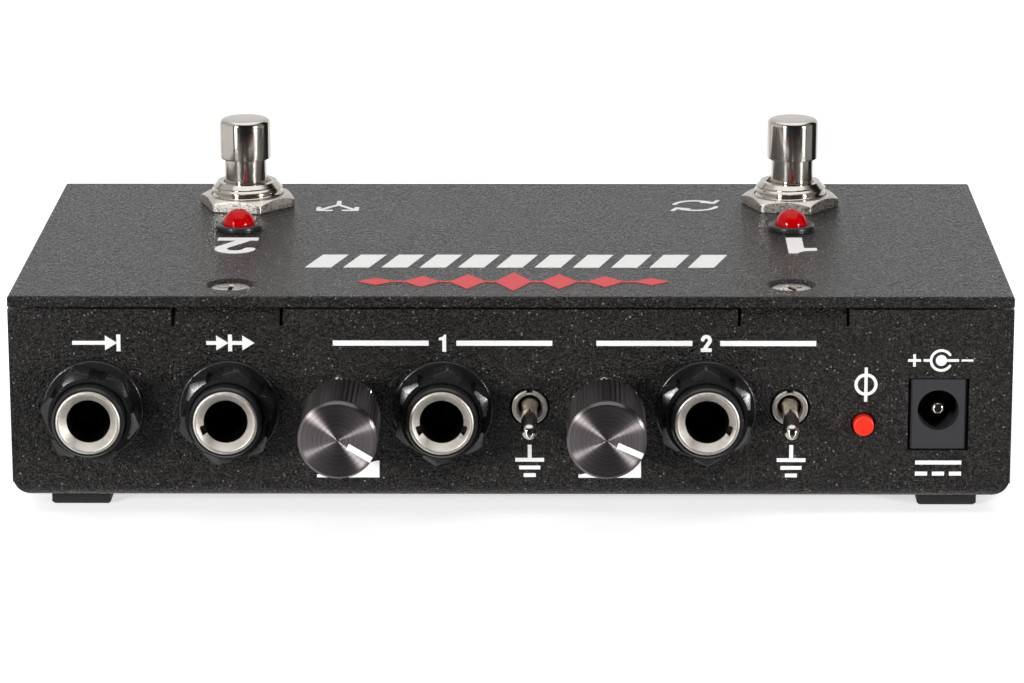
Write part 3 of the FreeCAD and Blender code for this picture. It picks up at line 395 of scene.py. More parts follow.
@finish
def aluminium_anodised_black_spun(tree):
    """Aluminium knob, face-turned then dyed black: its circular tool marks spread each light into
    a bright fan from the centre. Surfaces turned away from the face, the knurl among them, are
    painted darker: painted shade."""
    metal = settings("metal")
    rings = add_node(tree, "ShaderNodeTexNoise",
                     {"Vector": lathe_place(tree), "Scale": 1 / metal.turning, "Detail": 3.0,
                      "Roughness": 0.6})
    gloss = add_node(tree, "ShaderNodeMapRange", {"Value": rings, "To Min": 0.3, "To Max": 0.36})
    bump = add_node(tree, "ShaderNodeBump",
                    {"Height": rings, "Strength": 0.4, "Distance": 0.006 * MM})
    tint = add_node(tree, "ShaderNodeMapRange",
                    {"Value": rings, "From Min": 0.35, "From Max": 0.65, "To Min": 0.6,
                     "To Max": 1.4})
    # Painted shade: the colour falls to about a fifth where the surface turns away from the face
    facing = add_node(tree, "ShaderNodeSeparateXYZ",
                      {0: add_node(tree, "ShaderNodeTexCoord").outputs["Normal"]})
    side = add_node(tree, "ShaderNodeMapRange",
                    {"Value": facing.outputs["Z"], "From Min": 0.3, "From Max": 0.9,
                     "To Min": 0.22, "To Max": 1.0})
    # Random tone of the rings times the painted shade of the turned-away surfaces
    depth = add_node(tree, "ShaderNodeMath", {0: tint, 1: side}, operation="MULTIPLY")
    dye = add_node(tree, "ShaderNodeVectorMath",
                   {0: metal.anodised, "Scale": depth}, operation="SCALE")
    around = add_node(tree, "ShaderNodeTangent", direction_type="RADIAL", axis="Z")
    return add_node(tree, "ShaderNodeBsdfPrincipled",
                    {"Base Color": dye, "Metallic": 1.0, "Roughness": gloss, "Normal": bump,
                     "Tangent": around, "Anisotropic": 1.0, "Anisotropic Rotation": 0.25})


@finish
def nylon_moulded_black(tree):
    """Glass-filled nylon, injection moulded: near-black, glossy on the tool's polished faces, with
    a slight orange peel that breaks up the highlights."""
    plastic = settings("plastic")
    place = add_node(tree, "ShaderNodeTexCoord").outputs["Object"]
    peel = add_node(tree, "ShaderNodeTexNoise",
                    {"Vector": place, "Scale": 1 / (0.5 * MM), "Detail": 3.0, "Roughness": 0.6})
    gloss = add_node(tree, "ShaderNodeMapRange", {"Value": peel, "To Min": 0.18, "To Max": 0.36})
    bump = add_node(tree, "ShaderNodeBump",
                    {"Height": peel, "Strength": 0.5, "Distance": 0.02 * MM})
    base = mottled(tree, plastic.black, peel, 1.0, 2.4)
    return add_node(tree, "ShaderNodeBsdfPrincipled",
                    {"Base Color": base, "Roughness": gloss, "Normal": bump, "IOR": 1.53})


@finish
def pbt_moulded_black(tree):
    """Polyester socket and switch housings, moulded in an eroded tool: black with a fine matt
    sand, brighter only on the chamfers."""
    plastic = settings("plastic")
    place = add_node(tree, "ShaderNodeTexCoord").outputs["Object"]
    sand = add_node(tree, "ShaderNodeTexNoise",
                    {"Vector": place, "Scale": 1 / (0.22 * MM), "Detail": 3.0, "Roughness": 0.7})
    gloss = add_node(tree, "ShaderNodeMapRange", {"Value": sand, "To Min": 0.42, "To Max": 0.62})
    bump = add_node(tree, "ShaderNodeBump",
                    {"Height": sand, "Strength": 0.6, "Distance": 0.03 * MM})
    base = mottled(tree, plastic.housing, sand, 0.5, 1.5)
    return add_node(tree, "ShaderNodeBsdfPrincipled",
                    {"Base Color": base, "Roughness": gloss, "Normal": bump, "IOR": 1.55})


@finish
def acetal_moulded_red(tree):
    """Acetal button: even orange-red with the waxy gloss of the plastic and a faint flow mottle."""
    plastic = settings("plastic")
    place = add_node(tree, "ShaderNodeTexCoord").outputs["Object"]
    flow = add_node(tree, "ShaderNodeTexNoise", {"Vector": place, "Scale": 1 / (0.6 * MM)})
    base = mottled(tree, plastic.red, flow, 0.88, 1.08)
    gloss = add_node(tree, "ShaderNodeMapRange", {"Value": flow, "To Min": 0.3, "To Max": 0.42})
    return add_node(tree, "ShaderNodeBsdfPrincipled",
                    {"Base Color": base, "Roughness": gloss, "IOR": 1.48,
                     "Subsurface Weight": 0.15,
                     "Subsurface Radius": (0.4 * MM, 0.1 * MM, 0.1 * MM)})


@finish
def epoxy_cast_red(tree):
    """Diffused red epoxy, cast in a polished mould: glassy skin over a cloudy deep red that lets
    the metal inside show as a darker heart."""
    plastic = settings("plastic")
    place = add_node(tree, "ShaderNodeTexCoord").outputs["Object"]
    cloud = add_node(tree, "ShaderNodeTexNoise",
                     {"Vector": place, "Scale": 1 / (0.5 * MM), "Detail": 3.0, "Roughness": 0.6})
    base = mottled(tree, plastic.lamp, cloud, 0.75, 1.2)
    gloss = add_node(tree, "ShaderNodeMapRange", {"Value": cloud, "To Min": 0.03, "To Max": 0.08})
    return add_node(tree, "ShaderNodeBsdfPrincipled",
                    {"Base Color": base, "Roughness": gloss, "IOR": 1.5,
                     "Specular IOR Level": 0.14, "Transmission Weight": 0.2,
                     "Emission Color": rgba(linear("#FF0A04")), "Emission Strength": 0.02})


@finish
def rubber_moulded_black(tree):
    """Moulded rubber feet: matt black with a slightly dusty, pitted skin."""
    case = settings("case")
    place = add_node(tree, "ShaderNodeTexCoord").outputs["Object"]
    pits = add_node(tree, "ShaderNodeTexNoise",
                    {"Vector": place, "Scale": 1 / (0.3 * MM), "Detail": 3.0, "Roughness": 0.7})
    base = mottled(tree, case.rubber, pits, 0.7, 1.6)
    bump = add_node(tree, "ShaderNodeBump",
                    {"Height": pits, "Strength": 0.5, "Distance": 0.04 * MM})
    return add_node(tree, "ShaderNodeBsdfPrincipled",
                    {"Base Color": base, "Roughness": 0.75, "Normal": bump,
                     "Specular IOR Level": 0.35})


@finish
def glass_epoxy_solder_masked(tree):
    """Glass-epoxy board under green solder mask: the weave shows as a faint square bump."""
    plastic = settings("plastic")
    place = add_node(tree, "ShaderNodeTexCoord").outputs["Object"]
    weave = add_node(tree, "ShaderNodeTexChecker", {"Vector": place, "Scale": 1 / (0.5 * MM)})
    blotch = add_node(tree, "ShaderNodeTexNoise", {"Vector": place, "Scale": 1 / (6 * MM)})
    base = mottled(tree, plastic.board, blotch, 0.8, 1.15)
    bump = add_node(tree, "ShaderNodeBump",
                    {"Height": weave.outputs["Fac"], "Strength": 0.2, "Distance": 0.01 * MM})
    return add_node(tree, "ShaderNodeBsdfPrincipled",
                    {"Base Color": base, "Roughness": 0.28, "Normal": bump})


@finish
def silicon_steel_laminated(tree):
    """Stamped silicon-steel sheets, stacked: dark grey with a fine line at each sheet."""
    place = add_node(tree, "ShaderNodeTexCoord").outputs["Object"]
    split = add_node(tree, "ShaderNodeSeparateXYZ", {0: place})
    sheets = add_node(tree, "ShaderNodeCombineXYZ", {"Y": split.outputs["Y"]})
    lines = add_node(tree, "ShaderNodeTexNoise",
                     {"Vector": sheets, "Scale": 1 / (0.35 * MM), "Detail": 0.0})
    metal = mottled(tree, linear("#6B6D70"), lines, 0.35, 1.0)
    return add_node(tree, "ShaderNodeBsdfPrincipled",
                    {"Base Color": metal, "Metallic": 0.9, "Roughness": 0.45})


@finish
def polyester_taped_winding(tree):
    """Copper winding under yellow polyester tape: smooth, with the wire's lay just showing."""
    place = add_node(tree, "ShaderNodeTexCoord").outputs["Object"]
    split = add_node(tree, "ShaderNodeSeparateXYZ", {0: place})
    turns = add_node(tree, "ShaderNodeCombineXYZ", {"Z": split.outputs["Z"]})
    lay = add_node(tree, "ShaderNodeTexNoise",
                   {"Vector": turns, "Scale": 1 / (0.3 * MM), "Detail": 0.0})
    tape = mottled(tree, linear("#C9A227"), lay, 0.75, 1.05)
    return add_node(tree, "ShaderNodeBsdfPrincipled", {"Base Color": tape, "Roughness": 0.35})


def screen_ink(tree, ink):
    """Epoxy ink pulled through a mesh: opaque, satin, with the coat's grain pressing through and
    slightly thinner patches."""
    place = add_node(tree, "ShaderNodeTexCoord").outputs["Object"]
    patch = add_node(tree, "ShaderNodeTexNoise",
                     {"Vector": place, "Scale": 1 / (0.7 * MM), "Detail": 3.0, "Roughness": 0.6})
    base = mottled(tree, ink, patch, 0.95, 1.04)
    grain = add_node(tree, "ShaderNodeTexNoise",
                     {"Vector": place, "Scale": 1 / settings("case").grain, "Detail": 3.0,
                      "Roughness": 0.65})
    bump = add_node(tree, "ShaderNodeBump",
                    {"Height": grain, "Strength": 0.4, "Distance": 0.05 * MM})
    return add_node(tree, "ShaderNodeBsdfPrincipled",
                    {"Base Color": base, "Roughness": 0.5, "Normal": bump})


@finish
def epoxy_ink_screen_printed_white(tree):
    """White screen print."""
    return screen_ink(tree, settings("print").white)


@finish
def epoxy_ink_screen_printed_red(tree):
    """Red screen print."""
    return screen_ink(tree, settings("print").red)


# How far the paper is lifted towards white for the camera
CAMERA_LIFT = 0.6


@finish
def seamless_paper(tree):
    """White background paper. It is lit to a pale grey, and what the camera sees of it is lifted
    to white, so only the shadow of the pedal stays darker."""
    stage = settings("stage")
    place = add_node(tree, "ShaderNodeTexCoord").outputs["Object"]
    fibre = add_node(tree, "ShaderNodeTexNoise", {"Vector": place, "Scale": 1 / (3 * MM)})
    sheet = mottled(tree, stage.floor, fibre, 0.985, 1.0)
    paper = add_node(tree, "ShaderNodeBsdfDiffuse", {"Color": sheet})
    rays = add_node(tree, "ShaderNodeLightPath")
    seen = add_node(tree, "ShaderNodeMath",
                    {0: rays.outputs["Is Camera Ray"],
                     1: rays.outputs["Is Transmission Ray"]}, operation="MAXIMUM")
    lift = add_node(tree, "ShaderNodeMath", {0: seen, 1: CAMERA_LIFT}, operation="MULTIPLY")
    glow = add_node(tree, "ShaderNodeEmission", {"Color": (1.0, 1.0, 1.0, 1.0), "Strength": lift})
    return add_node(tree, "ShaderNodeAddShader", {0: paper, 1: glow})


def dress(node, material):
    """Gives a CAD node that stays in view its material."""
    for material_slot in NODES[node].material_slots:
        material_slot.material = material


def solid_boxes(node):
    """Lowest and highest corners of the separate solids of a CAD node, from left to right."""
    bm = bmesh.new()
    bm.from_mesh(NODES[node].data)
    bmesh.ops.remove_doubles(bm, verts=bm.verts, dist=WELD)
    waiting = set(bm.verts)
    boxes = []
    while waiting:
        island = []
        edge_of_island = [waiting.pop()]
        while edge_of_island:
            vert = edge_of_island.pop()
            island.append(vert.co)
            beside = [edge.other_vert(vert) for edge in vert.link_edges]
            beside = [other for other in set(beside) if other in waiting]
            waiting.difference_update(beside)
            edge_of_island.extend(beside)
        low = Vector(min(co[i] for co in island) for i in range(3))
        high = Vector(max(co[i] for co in island) for i in range(3))
        boxes.append((low, high))
    bm.free()
    return sorted(boxes, key=lambda box: tuple(round(v, 5) for v in box[0]))


def middle(box):
    return (box[0] + box[1]) / 2


def on_panel(x, z):
    """Place on the jack panel: local X stays, local Y points up, local Z out of the panel."""
    return Matrix.Translation((x, PANEL_Y, z)) @ Matrix.Rotation(math.radians(90), 4, "X")


def on_lid(x, y):
    """Place on the cover, seen by the player: local Z points up."""
    return Matrix.Translation((x, y, LID_Z))


def rounded(corners, steps=4):
    """Profile points from (radius, height) or (radius, height, fillet) corners, in order."""
    points = []
    for i, corner in enumerate(corners):
        here = Vector(corner[:2])
        if len(corner) == 2:
            points.append(here)
            continue
        fillet = corner[2]
        before = (Vector(corners[i - 1][:2]) - here).normalized()
        after = (Vector(corners[(i + 1) % len(corners)][:2]) - here).normalized()
        half = before.angle(after) / 2
        inwards = (before + after).normalized() * fillet / math.sin(half)
        start = before * fillet / math.tan(half) - inwards
        end = after * fillet / math.tan(half) - inwards
        for step in range(steps + 1):
            points.append(here + inwards + start.lerp(end, step / steps).normalized() * fillet)
    return points


def revolve(stations, ring=True):
    """Skin through (angle, profile) stations round the local Z axis.

    A ring's profile closes on itself. Otherwise a profile starts and ends on the axis.
    """
    bm = bmesh.new()
    rows = []
    for angle, profile in sorted(stations, key=lambda station: station[0]):
        across = Vector((math.cos(angle), math.sin(angle)))
        rows.append([bm.verts.new((across.x * r, across.y * r, h)) for r, h in profile])
    for i, row in enumerate(rows):
        beside = rows[(i + 1) % len(rows)]
        for j in range(len(row) if ring else len(row) - 1):
            k = (j + 1) % len(row)
            bm.faces.new((row[j], beside[j], beside[k], row[k]))
    return bm


def turned(profile, ring=True, segments=96):
    """Plain solid of revolution of one profile."""
    return revolve([(2 * math.pi * i / segments, profile) for i in range(segments)], ring)


def dome(radius, base, steps):
    """Profile points of a dome, from above its side to just short of its top."""
    angles = [math.pi / 2 * i / steps for i in range(1, steps)]
    return [(radius * math.cos(a), base + radius * math.sin(a)) for a in angles]


# Stations round a ring that has a slot or a flat
RING_STATIONS = 72
# Half the turn, in radians, between the two stations where a slot, notch or flat begins
STEP_TURN = 1e-4


def step_stations(edge, sign, inside, outside):
    """The two stations at an edge: the inner profile, and just beyond the edge the outer."""
    return [(edge - sign * STEP_TURN, inside), (edge + sign * STEP_TURN, outside)]


def add_object(name, data):
    """Makes an object of a mesh, light or camera and puts it in the scene."""
    made = bpy.data.objects.new(name, data)
    bpy.context.scene.collection.objects.link(made)
    return made


def welded_mesh(name, bm):
    """Closes the seams of a mesh, turns its faces outwards and frees the working copy."""
    bmesh.ops.remove_doubles(bm, verts=bm.verts, dist=WELD)
    bmesh.ops.recalc_face_normals(bm, faces=bm.faces)
    mesh = bpy.data.meshes.new(name)
    bm.to_mesh(mesh)
    bm.free()
    return mesh


def piece(name, bm, place, material, body, slot, nodes=(), crease=32.0):
    """Makes a mesh into an object that rides on a body and stands for the CAD nodes it names."""
    mesh = welded_mesh(name, bm)
    mesh.polygons.foreach_set("use_smooth", [True] * len(mesh.polygons))
    mesh.set_sharp_from_angle(angle=math.radians(crease))
    mesh.materials.append(material)
    made = add_object(name, mesh)
    made.matrix_world = place
    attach(made, body)
    if nodes:
        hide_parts(*nodes)
    return made


def hex_radius(angle, flats, turn):
    """Distance from the axis to a hexagon's side; a corner lies at turn."""
    wedge = (angle - turn) % (math.pi / 3) - math.pi / 6
    return flats / 2 / math.cos(wedge)


# Shares of a hexagon's side at which a nut is cut; the first pair makes the blunt corner
SIDE_SHARES = (0.008, 0.08, 0.2, 0.35, 0.5, 0.65, 0.8, 0.92, 0.992)


def hex_stations(turn, profile_at):
    """Stations round a hexagonal piece, close together at its corners."""
    stations = []
    for side in range(6):
        for share in SIDE_SHARES:
            angle = turn + (side + share) * math.pi / 3
            stations.append((angle, profile_at(angle)))
    return stations


def hex_nut(flats, bore, base, top, turn, bevel_radius, bevel_slope, edge, thread):
    """Hexagon nut with turned-down corners; heights are along local Z."""
    def profile_at(angle):
        reach = hex_radius(angle, flats, turn)
        drop = (reach - bevel_radius) * bevel_slope
        return rounded([
            (bore, base), (reach - edge, base), (reach, base + edge), (reach, top - drop, edge),
            (bevel_radius, top, edge), (bore + thread, top), (bore, top - thread),
        ])
    return revolve(hex_stations(turn, profile_at))


def carve(bm, cutters):
    """Cuts closed meshes out of a closed mesh and returns the result."""
    body, *others = [add_object("cutting", welded_mesh("cutting", part)) for part in (bm, *cutters)]
    for other in others:
        cut = body.modifiers.new("cut", "BOOLEAN")
        cut.operation = "DIFFERENCE"
        cut.solver = "EXACT"
        cut.object = other
    result = bmesh.new()
    result.from_object(body, bpy.context.evaluated_depsgraph_get())
    for made in (body, *others):
        mesh = made.data
        bpy.data.objects.remove(made)
        bpy.data.meshes.remove(mesh)
    return result


# Screws
SCREW_HEAD_EDGE = 0.12 * MM
CROSS_REACH = 2.0 * MM
CROSS_WIDTH = 0.75 * MM
CROSS_DEPTH = 1.3 * MM
CROSS_TAPER = 0.42
# The cutter stands this far out of the head's face, and is this much wider there
CROSS_ABOVE = 0.3 * MM
CROSS_FLARE = 1.12
SCREW_TURNS = (0.0, 38.0, 20.0, 65.0)


def cross_cutter(turn):
    """Tapered cross that a screwdriver fits, pointing down from the head's face."""
    bm = bmesh.new()
    half = CROSS_WIDTH / 2
    arm = [(half, half), (half, CROSS_REACH), (-half, CROSS_REACH)]
    turns = [Matrix.Rotation(turn + k * math.pi / 2, 2) for k in range(4)]
    outline = [quarter @ Vector(point) for quarter in turns for point in arm]
    rings = []
    for height, size in ((CROSS_ABOVE, CROSS_FLARE), (-CROSS_DEPTH, CROSS_TAPER)):
        rings.append([bm.verts.new((p.x * size, p.y * size, height)) for p in outline])
    bm.faces.new(rings[0])
    bm.faces.new(rings[1])
    for i in range(len(outline)):
        k = (i + 1) % len(outline)
        bm.faces.new((rings[0][i], rings[0][k], rings[1][k], rings[1][i]))
    return bm


def countersunk_screw(name, box, facing_up, turn):
    """Cross-head screw in its recess."""
    low, high = box
    head = (high.x - low.x) / 2
    shank = head / 2
    size = high.z - low.z
    profile = rounded([
        (0.0, 0.0), (head, 0.0, SCREW_HEAD_EDGE), (shank, -shank), (shank, -size), (0.0, -size),
    ])
    bm = carve(turned(profile, ring=False), [cross_cutter(turn)])
    centre = middle(box)
    place = Matrix.Translation((centre.x, centre.y, high.z if facing_up else low.z))
    if not facing_up:
        place = place @ Matrix.Rotation(math.pi, 4, "X")
    piece(name, bm, place, nickel_plated_brass_milled(), CASE, "nickel_screws", ["cover_screws"])


# Jacks
JACKS = ("input", "thru", "output_1", "output_2")
FERRULE_SLOT_HALF = math.radians(11.0)
FERRULE_SLOTS = {"input": (), "thru": (200.0,), "output_1": (-20.0, 200.0), "output_2": (-20.0,)}
JACK_NUT_TURNS = {"input": 109.0, "thru": 76.0, "output_1": 82.0, "output_2": 91.0}


def jack_ferrule(name, key, x, z):
    """Bright sleeve in the jack's nose: rolled rim, cone and the slots behind it."""
    low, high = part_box(name)
    front = PANEL_Y - low.y
    back = PANEL_Y - high.y
    rim = (high.x - low.x) / 2
    bore = 3.4 * MM
    sleeve = 4.3 * MM
    mouth = 4.5 * MM
    cone = mouth - bore
    slot_start, slot_end, slot_radius = 0.45 * MM, 1.9 * MM, 4.15 * MM
    rim_thick, rim_round, mouth_round = 0.6 * MM, 0.3 * MM, 0.15 * MM

    def profile(cut):
        inner = [
            (bore, front - slot_end),
            (slot_radius if cut else bore, front - slot_end),
            (slot_radius, front - slot_start) if cut else (bore, front - cone),
            (mouth - slot_start, front - slot_start),
        ]
        return rounded([
            (sleeve, back), (bore, back), *inner, (mouth, front, mouth_round),
            (rim, front, rim_round), (rim, front - rim_thick), (sleeve, front - rim_thick),
        ])

    stations = []
    slots = [math.radians(a) % (2 * math.pi) for a in FERRULE_SLOTS[key]]
    for i in range(RING_STATIONS):
        angle = round(2 * math.pi * i / RING_STATIONS, 6)
        apart = [abs((angle - slot + math.pi) % (2 * math.pi) - math.pi) for slot in slots]
        inside = any(turn < FERRULE_SLOT_HALF for turn in apart)
        stations.append((angle, profile(inside)))
    for slot in slots:
        for sign in (-1, 1):
            edge = (slot + sign * FERRULE_SLOT_HALF) % (2 * math.pi)
            stations += step_stations(edge, sign, profile(True), profile(False))
    piece(name + "_turned", revolve(stations), on_panel(x, z),
          nickel_plated_brass_bored_ferrule(), CASE, "bright_nickel", [name])


def jack_nut(name, x, z, turn):
    """Black flanged nut: thin round flange, hexagon, and a notch in the middle of each side."""
    low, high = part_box(name)
    flange_radius = (high.x - low.x) / 2
    top = PANEL_Y - low.y
    flange = 1.0 * MM
    flats = 13.6 * MM
    bore = 5.7 * MM
    bevel_start = 6.45 * MM
    notch_half = math.radians(11.7)
    notch_floor = flats / 2 - 0.65 * MM
    blunt = flats / math.sqrt(3) - 0.12 * MM
    thread = 0.15 * MM
    flange_round, bevel_least, notch_round, edge_round = 0.35 * MM, 0.08 * MM, 0.03 * MM, 0.12 * MM

    def profile(angle, notched):
        full = hex_radius(angle, flats, turn)
        reach = hex_radius(angle, 2 * notch_floor, turn) if notched else min(full, blunt)
        bevel = min(bevel_start, reach - bevel_least)
        edge = notch_round if notched else edge_round
        drop = max(0.0, (reach - bevel_start) / 2)
        return rounded([
            (bore, 0.0), (flange_radius, 0.0), (flange_radius, flange, flange_round),
            (reach, flange), (reach, top - drop, edge), (bevel, top, 0.01 * MM),
            (bore + thread, top), (bore, top - thread),
        ])

    stations = []
    for side in range(6):
        for share in SIDE_SHARES:
            angle = turn + (side + share) * math.pi / 3
            wedge = (share - 0.5) * math.pi / 3
            stations.append((angle, profile(angle, abs(wedge) < notch_half)))
        centre = turn + (side + 0.5) * math.pi / 3
        for sign in (-1, 1):
            edge = centre + sign * notch_half
            stations += step_stations(edge, sign, profile(edge, True), profile(edge, False))
    piece(name + "_moulded", revolve(stations), on_panel(x, z), nylon_moulded_black(), CASE,
          "jack_nylon", [name], crease=28.0)


def make_jacks():
    for key in JACKS:
        ferrule = f"jack_{key}_ferrule"
        centre = middle(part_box(ferrule))
        jack_ferrule(ferrule, key, centre.x, centre.z)
        jack_nut(f"jack_{key}_nut", centre.x, centre.z, math.radians(JACK_NUT_TURNS[key]))
        dress(f"jack_{key}_body", nylon_moulded_black())


# Level knobs: pointer angles are clockwise from the top, seen from the jack panel
POINTER_TURNS = {1: 121.0, 2: 114.0}
POINTER_WIDTH = 0.95 * MM
POINTER_START = 1.75 * MM
POINTER_END = 5.95 * MM
POT_NUT_TURNS = {1: 98.0, 2: 94.0}
TOOTH_SAMPLES = 6
KNOB_BORE = 3.02 * MM
KNOB_FACE_THICKNESS = 2.5 * MM
# A washer's bore and rounded edge
WASHER_BORE, WASHER_EDGE = 3.55 * MM, 0.08 * MM


def knob_mesh(radius, back, face):
    """Serrated barrel, plain rim, chamfer and flat face."""
    metal = settings("metal")
    rim, chamfer, round_off = 1.0 * MM, 0.4 * MM, 0.06 * MM
    bore_end = face - KNOB_FACE_THICKNESS

    def profile(tooth):
        return rounded([
            (0.0, bore_end), (KNOB_BORE, bore_end), (KNOB_BORE, back), (tooth - chamfer, back),
            (tooth, back + chamfer), (tooth, face - rim - 0.1 * MM), (radius, face - rim),
            (radius, face - chamfer, round_off), (radius - chamfer, face, round_off),
            (radius - 2 * chamfer, face), (0.0, face),
        ], steps=2)

    stations = []
    count = metal.knob_teeth * TOOTH_SAMPLES
    for i in range(count):
        angle = 2 * math.pi * i / count
        dip = 0.5 - 0.5 * math.cos(metal.knob_teeth * angle)
        stations.append((angle, profile(radius - metal.knob_tooth_depth * dip ** 0.7)))
    return revolve(stations, ring=False)


def level_knob(number):
    low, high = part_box(f"knob_{number}")
    centre = (low + high) / 2
    radius = (high.x - low.x) / 2
    back, face = PANEL_Y - high.y, PANEL_Y - low.y - settings("print").thickness
    body = f"level_{number}"
    place = on_panel(centre.x, centre.z)
    piece(f"knob_{number}_spun", knob_mesh(radius, back, face), place,
          aluminium_anodised_black_spun(), body, "black_anodised", [f"knob_{number}"], crease=40.0)
    turn = math.radians(90 - POINTER_TURNS[number])
    along = Vector((math.cos(turn), math.sin(turn)))
    across = Vector((-along.y, along.x)) * POINTER_WIDTH / 2
    start, end = along * POINTER_START, along * POINTER_END
    outline = [start - across, end - across, end + across, start + across]
    ink(f"knob_{number}_pointer", [outline], place @ Matrix.Translation((0, 0, face)),
        epoxy_ink_screen_printed_white(), body, "black_anodised")


def make_level_controls():
    washers, nuts = solid_boxes("pot_washers"), solid_boxes("pot_nuts")
    for number in (1, 2):
        level_knob(number)
        centre = middle(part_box(f"knob_{number}"))
        washer = washers[number - 1]
        thick = washer[1].y - washer[0].y
        radius = (washer[1].x - washer[0].x) / 2
        bm = turned(rounded([
            (WASHER_BORE, 0.0), (radius, 0.0), (radius, thick, WASHER_EDGE),
            (WASHER_BORE, thick, WASHER_EDGE),
        ]))
        place = on_panel(centre.x, centre.z)
        piece(f"pot_washer_{number}", bm, place, nickel_plated_brass_milled(), CASE, "satin_nickel",
              ["pot_washers"])
        top = PANEL_Y - nuts[number - 1][0].y
        bm = hex_nut(flats=10.0 * MM, bore=3.51 * MM, base=thick, top=top,
                     turn=math.radians(POT_NUT_TURNS[number]), bevel_radius=4.8 * MM,
                     bevel_slope=0.5, edge=0.1 * MM, thread=0.3 * MM)
        piece(f"pot_nut_{number}", bm, place, nickel_plated_brass_milled(), CASE, "satin_nickel",
              ["pot_nuts"])
        dress(f"pot_{number}_shaft", aluminium_turned())
        dress(f"pot_{number}_body", pbt_moulded_black())


# Ground-lift toggles
KEYWAY_HALF = math.radians(10.9)
LEVER_REACH = 9.2 * MM
LEVER_TILT = math.radians(14.5)


def toggle_bushing_mesh(proud, depth):
    """Threaded collar's face: flat ring, chamfered outside, flared inside, keyed on top."""
    outer, mouth, bore, cut = 2.78 * MM, 2.15 * MM, 1.8 * MM, 0.4 * MM
    outer_round, mouth_round, flare_end = 0.12 * MM, 0.05 * MM, -0.7 * MM

    def profile(keyed):
        reach = outer - cut if keyed else outer
        return rounded([
            (bore, -depth), (reach, -depth), (reach, proud, outer_round),
            (mouth, proud, mouth_round), (bore, flare_end),
        ])

    stations = []
    for i in range(RING_STATIONS):
        angle = 2 * math.pi * i / RING_STATIONS
        near = abs(angle - math.pi / 2)
        if near > KEYWAY_HALF + 0.01 or near < KEYWAY_HALF - 0.01:
            stations.append((angle, profile(near < KEYWAY_HALF)))
    for sign in (-1, 1):
        edge = math.pi / 2 + sign * KEYWAY_HALF
        stations += step_stations(edge, sign, profile(True), profile(False))
    return revolve(stations)


def lever_mesh(reach):
    """Round lever: tail, ball at the pivot, slightly waisted rod and a domed tip."""
    ball, rod, waist, tail, tail_end = 1.45 * MM, 1.33 * MM, 1.22 * MM, 0.9 * MM, -2.6 * MM
    points = [(0.0, tail_end), (tail, tail_end)]
    steps = 12
    start = math.asin(tail / ball)
    for i in range(steps + 1):
        angle = math.pi - start - (math.pi - start - math.asin(waist / ball)) * i / steps
        points.append((ball * math.sin(angle), ball * math.cos(angle)))
    tip = reach - rod
    points += [(waist, 2.6 * MM), (waist + 0.04 * MM, 4.6 * MM), (rod, tip)]
    points += dome(rod, tip, steps) + [(0.0, reach)]
    return turned(points, ring=False, segments=64)


def make_ground_lifts():
    bushings = solid_boxes("toggle_bushings")
    for number in (1, 2):
        low, high = bushings[number - 1]
        centre = (low + high) / 2
        pivot = Vector(JOINTS[f"ground_lift_{number}_flip"]["pos_m"])
        proud, depth = PANEL_Y - low.y, high.y - PANEL_Y
        piece(f"toggle_bushing_{number}", toggle_bushing_mesh(proud, depth),
              on_panel(centre.x, pivot.z), nickel_plated_brass_bored_bushing(), CASE,
              "satin_nickel", ["toggle_bushings"])
        place = Matrix.Translation(pivot) @ Matrix.Rotation(math.radians(90) + LEVER_TILT, 4, "X")
        piece(f"toggle_{number}_lever_plated", lever_mesh(LEVER_REACH), place,
              nickel_plated_brass_turned(), f"lift_lever_{number}", "bright_nickel",
              [f"toggle_{number}_lever"], crease=50.0)
        dress(f"toggle_{number}_body", pbt_moulded_black())


def make_polarity_button():
    """Red cap with a softly domed face on its stem."""
    low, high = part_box("polarity_button")
    centre = (low + high) / 2
    radius = (high.x - low.x) / 2
    proud, stem_end = PANEL_Y - low.y, PANEL_Y - high.y
    cap_back, stem = -0.9 * MM, 1.1 * MM
    bm = turned(rounded([
        (0.0, stem_end), (stem, stem_end), (stem, cap_back), (radius, cap_back),
        (radius, proud - 0.06 * MM, 0.28 * MM), (radius / 2, proud - 0.02 * MM), (0.0, proud),
    ]), ring=False, segments=64)
    piece("polarity_button_moulded", bm, on_panel(centre.x, centre.z), acetal_moulded_red(),
          "polarity", "red_plastic", ["polarity_button"])
    dress("polarity_switch_body", pbt_moulded_black())


def make_dc_socket():
    low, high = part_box("dc_socket_pin")
    centre = (low + high) / 2
    radius = (high.x - low.x) / 2
    tip, end = PANEL_Y - low.y, PANEL_Y - high.y
    bm = turned(rounded([(0.0, end), (radius, end), (radius, tip, 0.6 * MM), (0.0, tip)]),
                ring=False, segments=48)
    piece("dc_socket_pin_turned", bm, on_panel(centre.x, centre.z), nickel_plated_brass_turned(),
          CASE, "bright_nickel", ["dc_socket_pin"])
    dress("dc_socket_body", pbt_moulded_black())


# Footswitches
FOOT_NUT_TURNS = {1: 51.6, 2: 48.6}
FOOT_NUT_FLATS = 14.3 * MM
THREAD_ROWS_PER_TURN = 12
THREAD_SEGMENTS = 120


